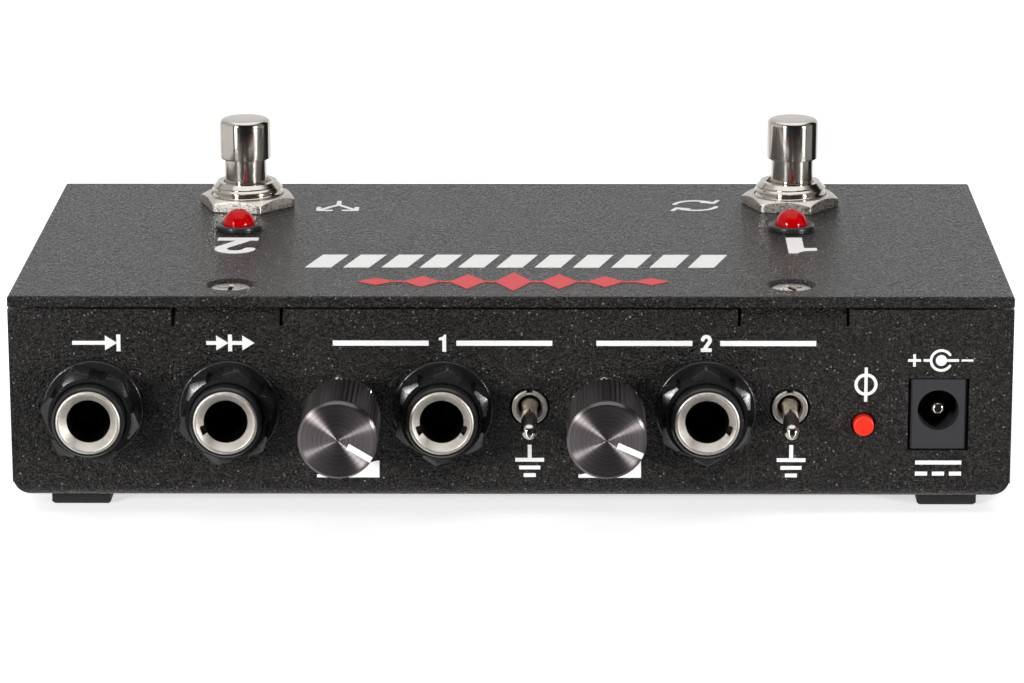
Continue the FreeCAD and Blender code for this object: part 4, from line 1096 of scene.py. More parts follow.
def threaded_bushing(number):
    """Collar with a helical thread, its crest cut away by the chamfer at the top."""
    metal = settings("metal")
    name = f"footswitch_{number}_bushing"
    low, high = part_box(name)
    outer = (high.x - low.x) / 2
    bore = 3.95 * MM
    chamfer, lip = 1.0 * MM, 0.12 * MM
    height = high.z - low.z
    rows = math.ceil(height / metal.thread_pitch * THREAD_ROWS_PER_TURN)

    def profile(angle):
        points = [(bore, 0.0)]
        for row in range(rows + 1):
            z = height * row / rows
            phase = (z / metal.thread_pitch - angle / (2 * math.pi)) % 1
            dip = 1 - abs(2 * phase - 1)
            crest = outer - metal.thread_depth * min(1.0, max(0.0, 1.25 * dip - 0.12))
            points.append((min(crest, outer - chamfer + (height - z) * 0.9), z))
        points += [(bore + lip, height), (bore, height - lip)]
        return points

    angles = [2 * math.pi * i / THREAD_SEGMENTS for i in range(THREAD_SEGMENTS)]
    stations = [(angle, profile(angle)) for angle in angles]
    centre = (low + high) / 2
    piece(name + "_threaded", revolve(stations), Matrix.Translation((centre.x, centre.y, low.z)),
          nickel_plated_brass_turned(), CASE, "bright_nickel", [name], crease=45.0)


def plunger(number):
    """Stem and cap turned from one bar."""
    name = f"footswitch_{number}_plunger"
    low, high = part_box(name)
    centre = (low + high) / 2
    stem, cap = 3.55 * MM, 4.28 * MM
    stem_top = 8.1 * MM
    cap_top = high.z - LID_Z
    collar, collar_top, collar_low, foot = 4.5 * MM, -4.6 * MM, -5.8 * MM, 2.1 * MM
    bottom = low.z - LID_Z
    profile = rounded([
        (0.0, bottom), (foot, bottom), (foot, collar_low), (collar, collar_low),
        (collar, collar_top), (stem, collar_top), (stem, stem_top), (cap, stem_top, 0.25 * MM),
        (cap, cap_top - 0.03 * MM, 0.85 * MM), (cap * 0.6, cap_top - 0.01 * MM), (0.0, cap_top),
    ], steps=8)
    piece(name + "_turned", turned(profile, ring=False, segments=128), on_lid(centre.x, centre.y),
          nickel_plated_brass_turned(), f"plunger_{number}", "bright_nickel", [name], crease=35.0)


def return_spring(number):
    """The wound spring inside a footswitch, on a mesh of its own."""
    name = f"footswitch_{number}_spring"
    bm = bmesh.new()
    bm.from_mesh(NODES[name].data)
    wound = piece(name + "_wound", bm, NODES[name].matrix_world.copy(), tinned_bronze_stamped(),
                  CASE, "contact_metal", [name])
    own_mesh(wound)


def make_footswitches():
    nuts = solid_boxes("footswitch_nuts")
    for number in (1, 2):
        threaded_bushing(number)
        plunger(number)
        # Footswitch 1 stands on the right, so its nut is the second from the left
        top = nuts[2 - number][1].z - LID_Z
        centre = middle(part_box(f"footswitch_{number}_bushing"))
        bm = hex_nut(flats=FOOT_NUT_FLATS, bore=6.04 * MM, base=0.0, top=top,
                     turn=math.radians(FOOT_NUT_TURNS[number]), bevel_radius=6.95 * MM,
                     bevel_slope=math.tan(math.radians(30)), edge=0.1 * MM, thread=0.12 * MM)
        piece(f"footswitch_{number}_nut_milled", bm, on_lid(centre.x, centre.y),
              nickel_plated_brass_milled(), CASE, "satin_nickel", ["footswitch_nuts"])
        dress(f"footswitch_{number}_body", pbt_moulded_black())
        return_spring(number)


def make_lamps():
    """Domed lens, the metal inside it, and the black ring it stands in."""
    for number in (1, 2):
        name = f"lamp_{number}"
        low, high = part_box(name)
        centre = (low + high) / 2
        radius, flange = 2.6 * MM, 1.0 * MM
        place = on_lid(centre.x, centre.y)
        top, bottom = high.z - LID_Z, low.z - LID_Z
        dome_base = top - radius
        rim = (high.x - low.x) / 2
        profile = [(0.0, bottom), (rim, bottom), (rim, bottom + flange), (radius, bottom + flange),
                   (radius, dome_base), *dome(radius, dome_base, 16), (0.0, top)]
        piece(name + "_lens", turned(profile, ring=False), place, epoxy_cast_red(), CASE,
              "lamp_red", [name], crease=40.0)
        post, cup_side = 0.55 * MM, 0.85 * MM
        cup = rounded([
            (0.0, bottom + 0.4 * MM), (post, bottom + 0.4 * MM), (post, dome_base - 1.9 * MM),
            (cup_side, dome_base - 1.2 * MM), (cup_side, dome_base - 0.7 * MM, 0.1 * MM),
            (0.45 * MM, dome_base - 1.0 * MM), (0.0, dome_base - 1.0 * MM),
        ])
        piece(name + "_leadframe", turned(cup, ring=False, segments=32), place,
              tinned_bronze_stamped(), CASE, "lamp_red")
        ring_low, ring_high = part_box(f"lamp_{number}_bezel")
        outer = (ring_high.x - ring_low.x) / 2
        sleeve_end = ring_low.z - LID_Z
        ring_top = ring_high.z - LID_Z
        bore, sleeve = 2.65 * MM, 3.25 * MM
        bezel = rounded([
            (bore, sleeve_end), (sleeve, sleeve_end), (sleeve, 0.0), (outer, 0.0, 0.1 * MM),
            (outer, ring_top, 0.35 * MM), (bore + 0.3 * MM, ring_top, 0.1 * MM),
            (bore, ring_top - 0.3 * MM),
        ])
        piece(f"lamp_{number}_bezel_moulded", turned(bezel), place, nylon_moulded_black(), CASE,
              "socket_plastic", [f"lamp_{number}_bezel"])


def make_case():
    for node in ("base_tray", "cover"):
        dress(node, powder_coated_steel())


def make_screws():
    for i, box in enumerate(solid_boxes("cover_screws")):
        facing_up = box[1].z > TRAY_HIGH.z
        countersunk_screw(f"cover_screw_{i + 1}", box, facing_up, math.radians(SCREW_TURNS[i]))


def make_feet():
    for node in NODES:
        if node.startswith("foot_"):
            dress(node, rubber_moulded_black())


INNER_FINISHES = {
    "cover_clinch_nuts": zinc_plated_steel_pressed,
    "pcb_main": glass_epoxy_solder_masked,
    "pcb_standoffs": zinc_plated_steel_pressed,
    "pcb_screws": zinc_plated_steel_pressed,
    "footswitch_washers": zinc_plated_steel_pressed,
    "footswitch_lugs": tinned_bronze_stamped,
    "jack_contacts": tinned_bronze_stamped,
    "transformer_cores": silicon_steel_laminated,
    "transformer_bobbins": polyester_taped_winding,
}


def make_inner_parts():
    for node, material in INNER_FINISHES.items():
        dress(node, material())


# Flat shapes of the print: every shape is a list of outlines that may overlap
CAP_STEPS = 8


def stroke(start, end, width):
    """Outline of a line with round ends."""
    start, end = Vector(start), Vector(end)
    along = (end - start).normalized() * width / 2
    across = Vector((-along.y, along.x))
    outline = []
    for point, forward in ((end, along), (start, -along)):
        side = across if forward == along else -across
        for i in range(CAP_STEPS + 1):
            angle = math.pi * i / CAP_STEPS
            outline.append(point - side * math.cos(angle) + forward * math.sin(angle))
    return outline


def bar(start, end, width):
    """Outline of a line with square ends."""
    start, end = Vector(start), Vector(end)
    along = (end - start).normalized() * width / 2
    across = Vector((-along.y, along.x))
    return [start - across, end - across, end + across, start + across]


def path(points, width):
    return [stroke(a, b, width) for a, b in zip(points, points[1:])]


def arc_points(centre, radius, start, end, steps=32):
    """Points round a centre, angles in degrees anticlockwise from +X."""
    angles = [math.radians(start + (end - start) * i / steps) for i in range(steps + 1)]
    return [(centre[0] + radius * math.cos(a), centre[1] + radius * math.sin(a)) for a in angles]


def arc(centre, radius, start, end, width):
    return path(arc_points(centre, radius, start, end), width)


def disc(centre, radius):
    return [arc_points(centre, radius, 0, 360, 48)[:-1]]


def shifted(shapes, x, y, turn=0.0):
    """The shapes turned by some degrees about their origin, then moved."""
    rotation = Matrix.Rotation(math.radians(turn), 2)
    return [[rotation @ Vector(point) + Vector((x, y)) for point in outline] for outline in shapes]


def ink(name, shapes, place, material, body, slot):
    """A film of ink in the united outline of the shapes, lying on local Z = 0."""
    thick = settings("print").thickness
    points, faces = [], []
    for outline in shapes:
        faces.append(list(range(len(points), len(points) + len(outline))))
        points += [Vector(point) for point in outline]
    verts, _, triangles, _, _, shapes_at = delaunay_2d_cdt(points, [], faces, 1, 0.001 * MM)
    triangles = [triangle for triangle, shape in zip(triangles, shapes_at) if shape]
    bm = bmesh.new()
    top = [bm.verts.new((v.x, v.y, thick)) for v in verts]
    low = [bm.verts.new((v.x, v.y, 0.0)) for v in verts]
    sides = {(t[i], t[(i + 1) % len(t)]) for t in triangles for i in range(len(t))}
    for triangle in triangles:
        bm.faces.new([top[i] for i in triangle])
        bm.faces.new([low[i] for i in reversed(triangle)])
    for a, b in sorted(sides):
        if (b, a) not in sides:
            bm.faces.new((low[a], low[b], top[b], top[a]))
    for vert in [v for v in bm.verts if not v.link_faces]:
        bm.verts.remove(vert)
    piece(name, bm, place, material, body, slot)


def digit_one(height, width):
    """Plain figure one: an upright and a short flag that curves up into its top."""
    flag = 0.19 * height
    right = (width + flag) / 2
    left = right - width
    return [[(left + 0.45 * width, height / 2), (left + 0.3 * width, 0.43 * height),
             (left, 0.36 * height), (-right, 0.32 * height), (-right, 0.17 * height),
             (left, 0.17 * height), (left, -height / 2), (right, -height / 2), (right, height / 2)]]


def digit_two(height, width):
    """Plain figure two, from its bow down to its foot."""
    reach = (height - width) / 2
    bow = 0.52 * reach
    points = arc_points((0.0, reach - bow), bow, 172, -38, 20)
    knee = (-0.7 * bow, -reach)
    half = width / 2
    foot = bar((-bow - half, -reach), (bow + half, -reach), width)
    return path(points + [knee], width) + [foot]


# Panel print: heights over the jacks' axis, distances from the controls' centres
LINE_OVER_AXIS = 10.58 * MM
LINE_GAP = 2.15 * MM
LINE_LENGTH = 14.88 * MM
PANEL_DIGIT = 2.75 * MM
PANEL_DIGIT_STROKE = 0.6 * MM
SYMBOL_WIDTH = 0.62 * MM
GROUND_STEM = 5.8 * MM
# Width and drop below the axis of each bar of the ground symbol, in millimetres
GROUND_BARS = ((4.5, 8.24), (3.3, 9.5), (1.9, 10.74))
GROUND_SHIFTS = {1: 0.0, 2: 0.3 * MM}
RAMP_LEFT, RAMP_RIGHT = 4.3 * MM, 5.5 * MM
RAMP_BELOW_AXIS = 11.15 * MM
RAMP_THIN, RAMP_THICK = 0.45 * MM, 2.8 * MM
PHASE_OVER_BUTTON = 6.4 * MM
PHASE_SIDE = 0.3 * MM
PHASE_RADIUS = 1.55 * MM
PHASE_REACH = 2.75 * MM
POLARITY_OVER_AXIS = 7.89 * MM
DIRECT_BELOW_AXIS = 9.5 * MM
INPUT_SHIFT, THRU_SHIFT = 0.65 * MM, 0.3 * MM
# Half the height of the bar in the two arrow symbols
STOP_HALF = 1.35 * MM


def channel_print(number, knob_x, jack_x, toggle_x, axis_z, digit):
    """Line and number over an output's controls, the level ramp, and the ground symbol."""
    ink_line = settings("print").line
    line_z = axis_z + LINE_OVER_AXIS
    shapes = []
    for side in (-1, 1):
        start = jack_x + side * LINE_GAP
        shapes.append(bar((start, line_z), (start + side * LINE_LENGTH, line_z), ink_line))
    shapes += shifted(digit(PANEL_DIGIT, PANEL_DIGIT_STROKE), jack_x, line_z)
    ground_x = toggle_x + GROUND_SHIFTS[number]
    stem_end = axis_z - GROUND_BARS[0][1] * MM
    shapes.append(bar((ground_x, axis_z - GROUND_STEM), (ground_x, stem_end), SYMBOL_WIDTH))
    for width, drop in GROUND_BARS:
        z, half = axis_z - drop * MM, width / 2 * MM
        shapes.append(bar((ground_x - half, z), (ground_x + half, z), SYMBOL_WIDTH))
    low = axis_z - RAMP_BELOW_AXIS
    shapes.append([(knob_x - RAMP_LEFT, low), (knob_x + RAMP_RIGHT, low),
                   (knob_x + RAMP_RIGHT, low + RAMP_THICK), (knob_x - RAMP_LEFT, low + RAMP_THIN)])
    return shapes


def phase_symbol():
    """Circle with an upright stroke through it: the polarity switch."""
    width = settings("print").fine_line
    shapes = arc((0, 0), PHASE_RADIUS, 0, 360, width)
    return shapes + [bar((0, -PHASE_REACH), (0, PHASE_REACH), width)]


def centre_negative_symbol():
    """Plus, ring, dot and minus: which part of the plug carries what."""
    width = 0.42 * MM
    ring_x, ring_radius = 0.36 * MM, 1.6 * MM
    shapes = [bar((-4.8 * MM, 0), (-2.8 * MM, 0), width),
              bar((-3.8 * MM, -1.0 * MM), (-3.8 * MM, 1.0 * MM), width)]
    shapes.append(bar((-2.4 * MM, 0), (ring_x - ring_radius, 0), width))
    shapes += arc((ring_x, 0), ring_radius, 34, 326, width)
    shapes += disc((ring_x, 0), 0.87 * MM)
    shapes.append(bar((ring_x, 0), (3.1 * MM, 0), width))
    return shapes + [bar((3.5 * MM, 0), (5.3 * MM, 0), 0.8 * width)]


def direct_current_symbol():
    """A full line over three dashes."""
    width, half, above = 0.65 * MM, 3.6 * MM, 0.9 * MM
    shapes = [bar((-half, above), (half, above), width)]
    for centre in (-2.65, 0.0, 2.65):
        start, end = (centre - 0.95) * MM, (centre + 0.95) * MM
        shapes.append(bar((start, -above), (end, -above), width))
    return shapes


def arrow(start, tip, width):
    """Line with a solid head."""
    head, half = 1.9 * MM, 1.2 * MM
    return [bar((start, 0), (tip - 0.8 * head, 0), width),
            [(tip - head, -half), (tip, 0), (tip - head, half)]]


def input_symbol():
    """Arrow that ends at a bar: the signal comes in."""
    stop = bar((3.5 * MM, -STOP_HALF), (3.5 * MM, STOP_HALF), SYMBOL_WIDTH)
    return arrow(-3.7 * MM, 3.3 * MM, SYMBOL_WIDTH) + [stop]


def thru_symbol():
    """Arrow through a bar: the signal goes on."""
    shapes = arrow(-3.7 * MM, -0.25 * MM, SYMBOL_WIDTH) + arrow(0.0, 3.8 * MM, SYMBOL_WIDTH)
    return shapes + [bar((0, -STOP_HALF), (0, STOP_HALF), SYMBOL_WIDTH)]


def make_panel_print():
    centres = {key: middle(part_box(f"jack_{key}_ferrule")) for key in JACKS}
    axis_z = centres["input"].z
    shapes = []
    for number, digit in ((1, digit_one), (2, digit_two)):
        knob_x = middle(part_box(f"knob_{number}")).x
        toggle_x = JOINTS[f"ground_lift_{number}_flip"]["pos_m"][0]
        jack_x = centres[f"output_{number}"].x
        shapes += channel_print(number, knob_x, jack_x, toggle_x, axis_z, digit)
    line_z = axis_z + LINE_OVER_AXIS
    shapes += shifted(input_symbol(), centres["input"].x + INPUT_SHIFT, line_z)
    shapes += shifted(thru_symbol(), centres["thru"].x + THRU_SHIFT, line_z)
    button = middle(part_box("polarity_button"))
    shapes += shifted(phase_symbol(), button.x + PHASE_SIDE, button.z + PHASE_OVER_BUTTON)
    socket = middle(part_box("dc_socket_pin"))
    shapes += shifted(centre_negative_symbol(), socket.x - 0.1 * MM, axis_z + POLARITY_OVER_AXIS)
    shapes += shifted(direct_current_symbol(), socket.x + 0.15 * MM, axis_z - DIRECT_BELOW_AXIS)
    ink("panel_print", shapes, on_panel(0, 0), epoxy_ink_screen_printed_white(), CASE,
        "tray_powder_coat")


# Cover print, read from the player's side: places from the panel's face
LID_DIGITS = (
    # number, shape, height, stroke, shift from the lamp, distance from the panel
    (1, digit_one, 10.8 * MM, 2.65 * MM, 1.1 * MM, 34.2 * MM),
    (2, digit_two, 11.0 * MM, 2.0 * MM, 0.4 * MM, 33.9 * MM),
)
SPLIT_PLACE = (-29.9 * MM, 62.4 * MM)
SWAP_PLACE = (30.4 * MM, 63.0 * MM)
SYMBOL_STROKE = 0.8 * MM
BAND_FROM, BAND_TO = 19.0 * MM, 27.6 * MM
BAND_HALF = 33.5 * MM
BAND_SIDE = 0.6 * MM
BAND_BLOCKS = 11
BAND_FILL = 0.68
BAND_SLANT = 2.4 * MM
# Heights of the lozenges in millimetres, and where their row lies
LOZENGES = (4.5, 7.0, 9.5, 12.0, 9.5, 7.0, 4.5)
LOZENGE_ROW = (0.4 * MM, 9.8 * MM)
LOZENGE_PITCH = 7.2 * MM
# Half a lozenge's length, and half the line that they sit on
LOZENGE_REACH, LOZENGE_LINE = 2.9 * MM, 24 * MM


def split_arrows(width):
    """One line that parts into two arrows."""
    shapes = path([(0, -3.6 * MM), (0, -1.0 * MM)], width)
    for side in (-1, 1):
        tip = (side * 3.2 * MM, 3.1 * MM)
        shapes += path([(0, -1.0 * MM), tip], width)
        barbs = [(tip[0] - side * 2.1 * MM, tip[1]), tip, (tip[0], tip[1] - 2.1 * MM)]
        shapes += path(barbs, width)
    return shapes


def swap_arrows(width):
    """Two half-circle arrows that chase each other."""
    shapes = []
    radius = 3.6 * MM
    for turn in (0, 180):
        half = arc((0, 0), radius, 165, 30, width)
        tip = Vector(arc_points((0, 0), radius, 165, 30)[-1])
        half += path([tip + Vector((-1.9, 0.75)) * MM, tip, tip + Vector((0.75, 1.9)) * MM], width)
        shapes += shifted(half, 0, 0, turn)
    return shapes


def make_lid_print():
    white, red = epoxy_ink_screen_printed_white(), epoxy_ink_screen_printed_red()
    shapes = []
    for number, digit, height, width, side, forward in LID_DIGITS:
        lamp = middle(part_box(f"lamp_{number}"))
        shapes += shifted(digit(height, width), lamp.x + side, PANEL_Y + forward, 180)
    shapes += shifted(split_arrows(SYMBOL_STROKE), SPLIT_PLACE[0], PANEL_Y + SPLIT_PLACE[1], 180)
    shapes += shifted(swap_arrows(SYMBOL_STROKE), SWAP_PLACE[0], PANEL_Y + SWAP_PLACE[1])
    ink("cover_print_white", shapes, on_lid(0, 0), white, CASE, "cover_powder_coat")
    pitch = 2 * BAND_HALF / BAND_BLOCKS
    low, high = PANEL_Y + BAND_FROM, PANEL_Y + BAND_TO
    blocks = []
    for i in range(BAND_BLOCKS):
        left = -BAND_HALF + i * pitch
        right = left + BAND_FILL * pitch
        blocks.append([(left, low), (right, low), (right + BAND_SLANT, high),
                       (left + BAND_SLANT, high)])
    ink("cover_print_blocks", blocks, on_lid(BAND_SIDE, 0), white, CASE, "cover_powder_coat")
    row = [bar((-LOZENGE_LINE, 0), (LOZENGE_LINE, 0), 0.7 * MM)]
    for i, size in enumerate(LOZENGES):
        x = (i - (len(LOZENGES) - 1) / 2) * LOZENGE_PITCH
        half = size / 2 * MM
        row.append([(x - LOZENGE_REACH, 0), (x, -half), (x + LOZENGE_REACH, 0), (x, half)])
    ink("cover_print_red", row, on_lid(LOZENGE_ROW[0], PANEL_Y + LOZENGE_ROW[1]), red, CASE,
        "cover_powder_coat")


# Stage
CAMERA_PLACE = (9.36 * MM, PANEL_Y - 634.2 * MM, LID_Z + 160.2 * MM)
CAMERA_YAW, CAMERA_PITCH, CAMERA_ROLL = (math.radians(a) for a in (-0.82, 14.78, -0.15))
SENSOR_WIDTH = 36.0
SIDE_LIGHT_DISTANCE = 1.1
# name, azimuth from the panel's normal, elevation (degrees), width and height
SIDE_LIGHTS = (("left_box", -38.0, 15.0, (0.16, 0.16)), ("right_box", 52.0, 8.0, (0.18, 0.16)))
TOP_LIGHT_HEIGHT = 1.2
TOP_LIGHT_SIZE = 1.6
LIGHT_TARGET = (0.0, 0.0, 0.02)
FLOOR_REACH = 6.0
# What surrounds the pedal sends back, from one azimuth to another (degrees): backdrop, left wall,
# right wall, backdrop; and the stands under the two side lights
STUDIO_WALLS = ((-190.0, -128.0, 1.0), (-128.0, -50.0, 0.8), (60.0, 98.0, 0.3), (130.0, 190.0, 1.0))
LIGHT_STANDS = ((-46.0, -32.0, 4.0), (42.0, 58.0, 2.4))
# Degrees over which a wall's edge fades, and what the rest of the room sends back
SOFT_EDGE = 4.0
DARK_ROOM = 0.02
# From one elevation to another (degrees), the levels below and above; the ceiling's is the fill
WALL_FADE = (2.0, 16.0, 1.0, 0.72)
STAND_FADE = (-4.0, 6.0, 1.0, 0.0)
TABLE_FADE = (-50.0, -20.0, 0.2, 0.0)
CEILING_RISE = (42.0, 64.0, 0.0)


def area_light(name, place, size, power):
    """Soft box that lights the pedal but isn't seen itself."""
    light = bpy.data.lights.new(name, "AREA")
    light.shape = "RECTANGLE"
    light.size, light.size_y = size
    light.energy = power
    made = add_object(name, light)
    turn = (Vector(place) - Vector(LIGHT_TARGET)).to_track_quat("Z", "Y")
    made.matrix_world = Matrix.Translation(place) @ turn.to_matrix().to_4x4()
    made.visible_camera = False


def make_camera():
    """Camera of the photograph: long lens, a little above the panel."""
    data = bpy.data.cameras.new("photo_camera")
    data.sensor_fit = "HORIZONTAL"
    data.sensor_width = SENSOR_WIDTH
    data.lens = settings("stage").lens / MM
    made = add_object("photo_camera", data)
    forward = Vector((math.sin(CAMERA_YAW) * math.cos(CAMERA_PITCH),
                      math.cos(CAMERA_YAW) * math.cos(CAMERA_PITCH), -math.sin(CAMERA_PITCH)))
    level = Vector((math.cos(CAMERA_YAW), -math.sin(CAMERA_YAW), 0.0))
    above = level.cross(forward)
    right = level * math.cos(CAMERA_ROLL) + above * math.sin(CAMERA_ROLL)
    up = above * math.cos(CAMERA_ROLL) - level * math.sin(CAMERA_ROLL)
    turn = Matrix((right, up, -forward)).transposed().to_4x4()
    made.matrix_world = Matrix.Translation(CAMERA_PLACE) @ turn
    bpy.context.scene.camera = made


def make_world():
    """White surroundings for the camera. As light and in reflections they are a studio: white
    backdrop and left wall, a pale ceiling, and a dark room on the camera's side."""
    world = bpy.data.worlds.new("studio")
    world.use_nodes = True
    tree = world.node_tree
    tree.nodes.clear()
    direction = add_node(tree, "ShaderNodeTexCoord").outputs["Generated"]
    split = add_node(tree, "ShaderNodeSeparateXYZ", {0: direction})
    towards_panel = add_node(tree, "ShaderNodeMath", {0: split.outputs["Y"], 1: -1.0},
                             operation="MULTIPLY")
    around = add_node(tree, "ShaderNodeMath", {0: split.outputs["X"], 1: towards_panel},
                      operation="ARCTAN2")
    azimuth = add_node(tree, "ShaderNodeMath", {0: around, 1: math.degrees(1)},
                       operation="MULTIPLY")
    above = add_node(tree, "ShaderNodeMath", {0: split.outputs["Z"]}, operation="ARCSINE")
    elevation = add_node(tree, "ShaderNodeMath", {0: above, 1: math.degrees(1)},
                         operation="MULTIPLY")

    def sectors(levels):
        """What the walls or stands of some azimuths send back, in a dark room."""
        light = DARK_ROOM
        for start, end, level in levels:
            rise = add_node(tree, "ShaderNodeMapRange",
                            {"Value": azimuth, "From Min": start, "From Max": start + SOFT_EDGE},
                            interpolation_type="SMOOTHSTEP")
            fall = add_node(tree, "ShaderNodeMapRange",
                            {"Value": azimuth, "From Min": end - SOFT_EDGE, "From Max": end,
                             "To Min": 1.0, "To Max": 0.0}, interpolation_type="SMOOTHSTEP")
            inside = add_node(tree, "ShaderNodeMath", {0: rise, 1: fall}, operation="MULTIPLY")
            lit = add_node(tree, "ShaderNodeMath", {0: inside, 1: level}, operation="MULTIPLY")
            light = add_node(tree, "ShaderNodeMath", {0: light, 1: lit}, operation="MAXIMUM")
        return light

    heights = []
    ceiling_rise = (*CEILING_RISE, settings("stage").fill)
    for start, end, below, over in (WALL_FADE, STAND_FADE, TABLE_FADE, ceiling_rise):
        heights.append(add_node(tree, "ShaderNodeMapRange",
                                {"Value": elevation, "From Min": start, "From Max": end,
                                 "To Min": below, "To Max": over}, interpolation_type="SMOOTHSTEP"))
    wall_height, stand_height, table, ceiling = heights
    walls = add_node(tree, "ShaderNodeMath", {0: sectors(STUDIO_WALLS), 1: wall_height},
                     operation="MULTIPLY")
    stands = add_node(tree, "ShaderNodeMath", {0: sectors(LIGHT_STANDS), 1: stand_height},
                      operation="MULTIPLY")
    upright = add_node(tree, "ShaderNodeMath", {0: walls, 1: stands}, operation="MAXIMUM")
    flat = add_node(tree, "ShaderNodeMath", {0: table, 1: ceiling}, operation="MAXIMUM")
    light = add_node(tree, "ShaderNodeMath", {0: upright, 1: flat}, operation="MAXIMUM")
    rays = add_node(tree, "ShaderNodeLightPath")
    seen = add_node(tree, "ShaderNodeMath",
                    {0: rays.outputs["Is Camera Ray"], 1: rays.outputs["Is Transmission Ray"]},
                    operation="MAXIMUM")
    strength = add_node(tree, "ShaderNodeMapRange", {"Value": seen, "To Min": light, "To Max": 1.0})
    sky = add_node(tree, "ShaderNodeBackground",
                   {"Color": (1.0, 1.0, 1.0, 1.0), "Strength": strength})
    add_node(tree, "ShaderNodeOutputWorld", {"Surface": sky})
    bpy.context.scene.world = world


def make_floor():
    bm = bmesh.new()
    corners = ((-1, -1), (1, -1), (1, 1), (-1, 1))
    bm.faces.new([bm.verts.new((x * FLOOR_REACH, y * FLOOR_REACH, 0.0)) for x, y in corners])
    mesh = bpy.data.meshes.new("paper_floor")
    bm.to_mesh(mesh)
    bm.free()
    mesh.materials.append(seamless_paper())
    floor = add_object("paper_floor", mesh)
    # The pedal's own surfaces see the studio below instead, so the paper doesn't wash them out
    floor.visible_diffuse = False
    floor.visible_glossy = False
    floor.visible_shadow = False


def make_stage():
    stage = settings("stage")
    make_floor()
    make_world()
    make_camera()
    area_light("top_box", (0.0, 0.1, TOP_LIGHT_HEIGHT), (TOP_LIGHT_SIZE, TOP_LIGHT_SIZE),
               stage.top_power)
    for name, azimuth, elevation, size in SIDE_LIGHTS:
        across, up = math.radians(azimuth), math.radians(elevation)
        place = Vector((math.sin(across) * math.cos(up), -math.cos(across) * math.cos(up),
                        math.sin(up)))
        area_light(name, place * SIDE_LIGHT_DISTANCE, size, stage.side_power)
    bpy.context.scene.view_settings.view_transform = "Standard"


class PEDAL_OT_case(bpy.types.Operator):
    """Powder coat on the folded tray and cover"""
    bl_idname = "pedal.case"
    bl_label = "Case"

    def execute(self, context):
        make_case()
        return {"FINISHED"}


class PEDAL_OT_screws(bpy.types.Operator):
    """Four countersunk cross-head screws"""
    bl_idname = "pedal.screws"
    bl_label = "Cover screws"

    def execute(self, context):
        make_screws()
        return {"FINISHED"}


class PEDAL_OT_feet(bpy.types.Operator):
    """Rubber feet"""
    bl_idname = "pedal.feet"
    bl_label = "Feet"

    def execute(self, context):
        make_feet()
        return {"FINISHED"}


class PEDAL_OT_jacks(bpy.types.Operator):
    """Ferrules, nuts and noses of the four jacks"""
    bl_idname = "pedal.jacks"
    bl_label = "Jacks"

    def execute(self, context):
        make_jacks()
        return {"FINISHED"}


class PEDAL_OT_level_controls(bpy.types.Operator):
    """Knobs, pointers, nuts and washers of the level controls"""
    bl_idname = "pedal.level_controls"
    bl_label = "Level controls"

    def execute(self, context):
        make_level_controls()
        return {"FINISHED"}


class PEDAL_OT_ground_lifts(bpy.types.Operator):
    """Bushings and levers of the two toggles"""
    bl_idname = "pedal.ground_lifts"
    bl_label = "Ground lifts"

    def execute(self, context):
        make_ground_lifts()
        return {"FINISHED"}


class PEDAL_OT_polarity_button(bpy.types.Operator):
    """Red push-button"""
    bl_idname = "pedal.polarity_button"
    bl_label = "Polarity button"

    def execute(self, context):
        make_polarity_button()
        return {"FINISHED"}


class PEDAL_OT_dc_socket(bpy.types.Operator):
    """Power socket and its centre pin"""
    bl_idname = "pedal.dc_socket"
    bl_label = "DC socket"

    def execute(self, context):
        make_dc_socket()
        return {"FINISHED"}


class PEDAL_OT_footswitches(bpy.types.Operator):
    """Plungers, threaded bushings and nuts of the footswitches"""
    bl_idname = "pedal.footswitches"
    bl_label = "Footswitches"

    def execute(self, context):
        make_footswitches()
        return {"FINISHED"}


class PEDAL_OT_lamps(bpy.types.Operator):
    """Red lamps and their bezels"""
    bl_idname = "pedal.lamps"
    bl_label = "Lamps"

    def execute(self, context):
        make_lamps()
        return {"FINISHED"}


class PEDAL_OT_panel_print(bpy.types.Operator):
    """Symbols on the jack panel"""
    bl_idname = "pedal.panel_print"
    bl_label = "Panel print"

    def execute(self, context):
        make_panel_print()
        return {"FINISHED"}


class PEDAL_OT_lid_print(bpy.types.Operator):
    """Numbers, symbols and bands on the cover"""
    bl_idname = "pedal.lid_print"
    bl_label = "Cover print"

    def execute(self, context):
        make_lid_print()
        return {"FINISHED"}


class PEDAL_OT_inner_parts(bpy.types.Operator):
    """Finish of the parts inside the case"""
    bl_idname = "pedal.inner_parts"
    bl_label = "Inner parts"

    def execute(self, context):
        make_inner_parts()
        return {"FINISHED"}


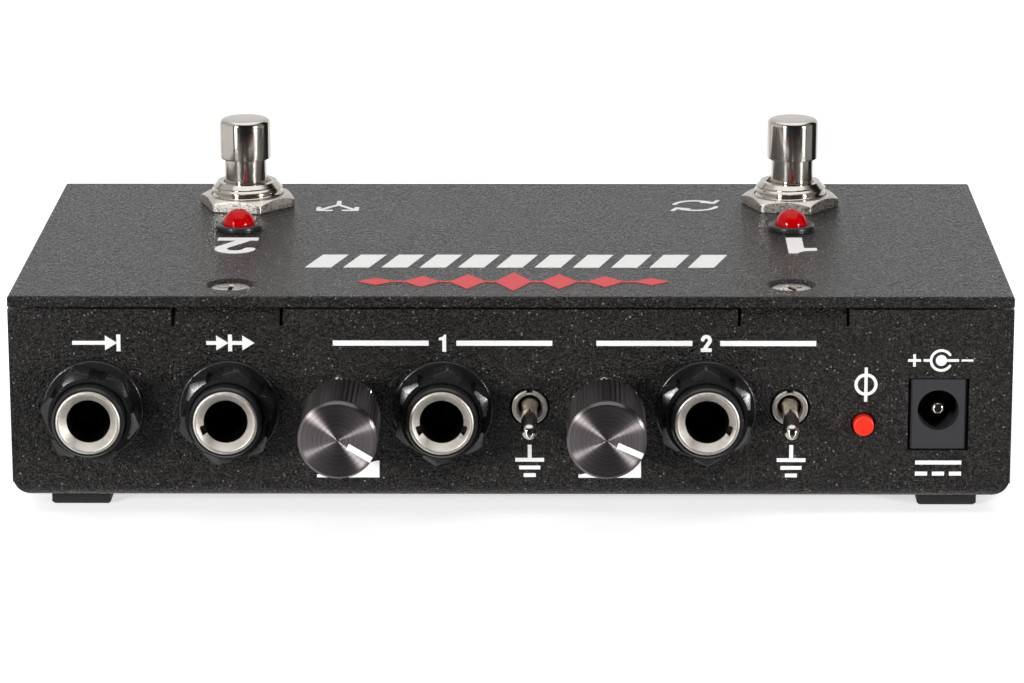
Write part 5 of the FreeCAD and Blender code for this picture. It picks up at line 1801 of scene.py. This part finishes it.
class PEDAL_OT_stage(bpy.types.Operator):
    """Floor, lights, surroundings and camera"""
    bl_idname = "pedal.stage"
    bl_label = "Stage"

    def execute(self, context):
        make_stage()
        return {"FINISHED"}


OPERATORS = (
    PEDAL_OT_stage, PEDAL_OT_case, PEDAL_OT_screws, PEDAL_OT_feet, PEDAL_OT_jacks,
    PEDAL_OT_level_controls, PEDAL_OT_ground_lifts, PEDAL_OT_polarity_button, PEDAL_OT_dc_socket,
    PEDAL_OT_footswitches, PEDAL_OT_lamps, PEDAL_OT_panel_print, PEDAL_OT_lid_print,
    PEDAL_OT_inner_parts,
)


class PEDAL_PT_sidebar(bpy.types.Panel):
    """Sizes, colours and pieces of the pedal"""
    bl_label = "Signal switch pedal"
    bl_idname = "PEDAL_PT_sidebar"
    bl_space_type = "VIEW_3D"
    bl_region_type = "UI"
    bl_category = "Pedal"

    def draw(self, context):
        for name in SETTINGS:
            group = getattr(context.scene, "pedal_" + name)
            box = self.layout.box()
            for prop in group.bl_rna.properties:
                if prop.identifier not in {"rna_type", "name"}:
                    box.prop(group, prop.identifier)
        for operator in OPERATORS:
            self.layout.operator(operator.bl_idname)


SETTINGS = {
    "case": PedalCaseSettings,
    "metal": PedalMetalSettings,
    "plastic": PedalPlasticSettings,
    "print": PedalPrintSettings,
    "stage": PedalStageSettings,
}


def register():
    for name, group in SETTINGS.items():
        bpy.utils.register_class(group)
        setattr(bpy.types.Scene, "pedal_" + name, PointerProperty(type=group))
    for operator in OPERATORS:
        bpy.utils.register_class(operator)
    bpy.utils.register_class(PEDAL_PT_sidebar)


def unregister():
    bpy.utils.unregister_class(PEDAL_PT_sidebar)
    for operator in reversed(OPERATORS):
        bpy.utils.unregister_class(operator)
    for name, group in SETTINGS.items():
        delattr(bpy.types.Scene, "pedal_" + name)
        bpy.utils.unregister_class(group)


def main():
    register()
    for operator in OPERATORS:
        family, name = operator.bl_idname.split(".")
        getattr(getattr(bpy.ops, family), name)()


if __name__ == "__main__":
    main()
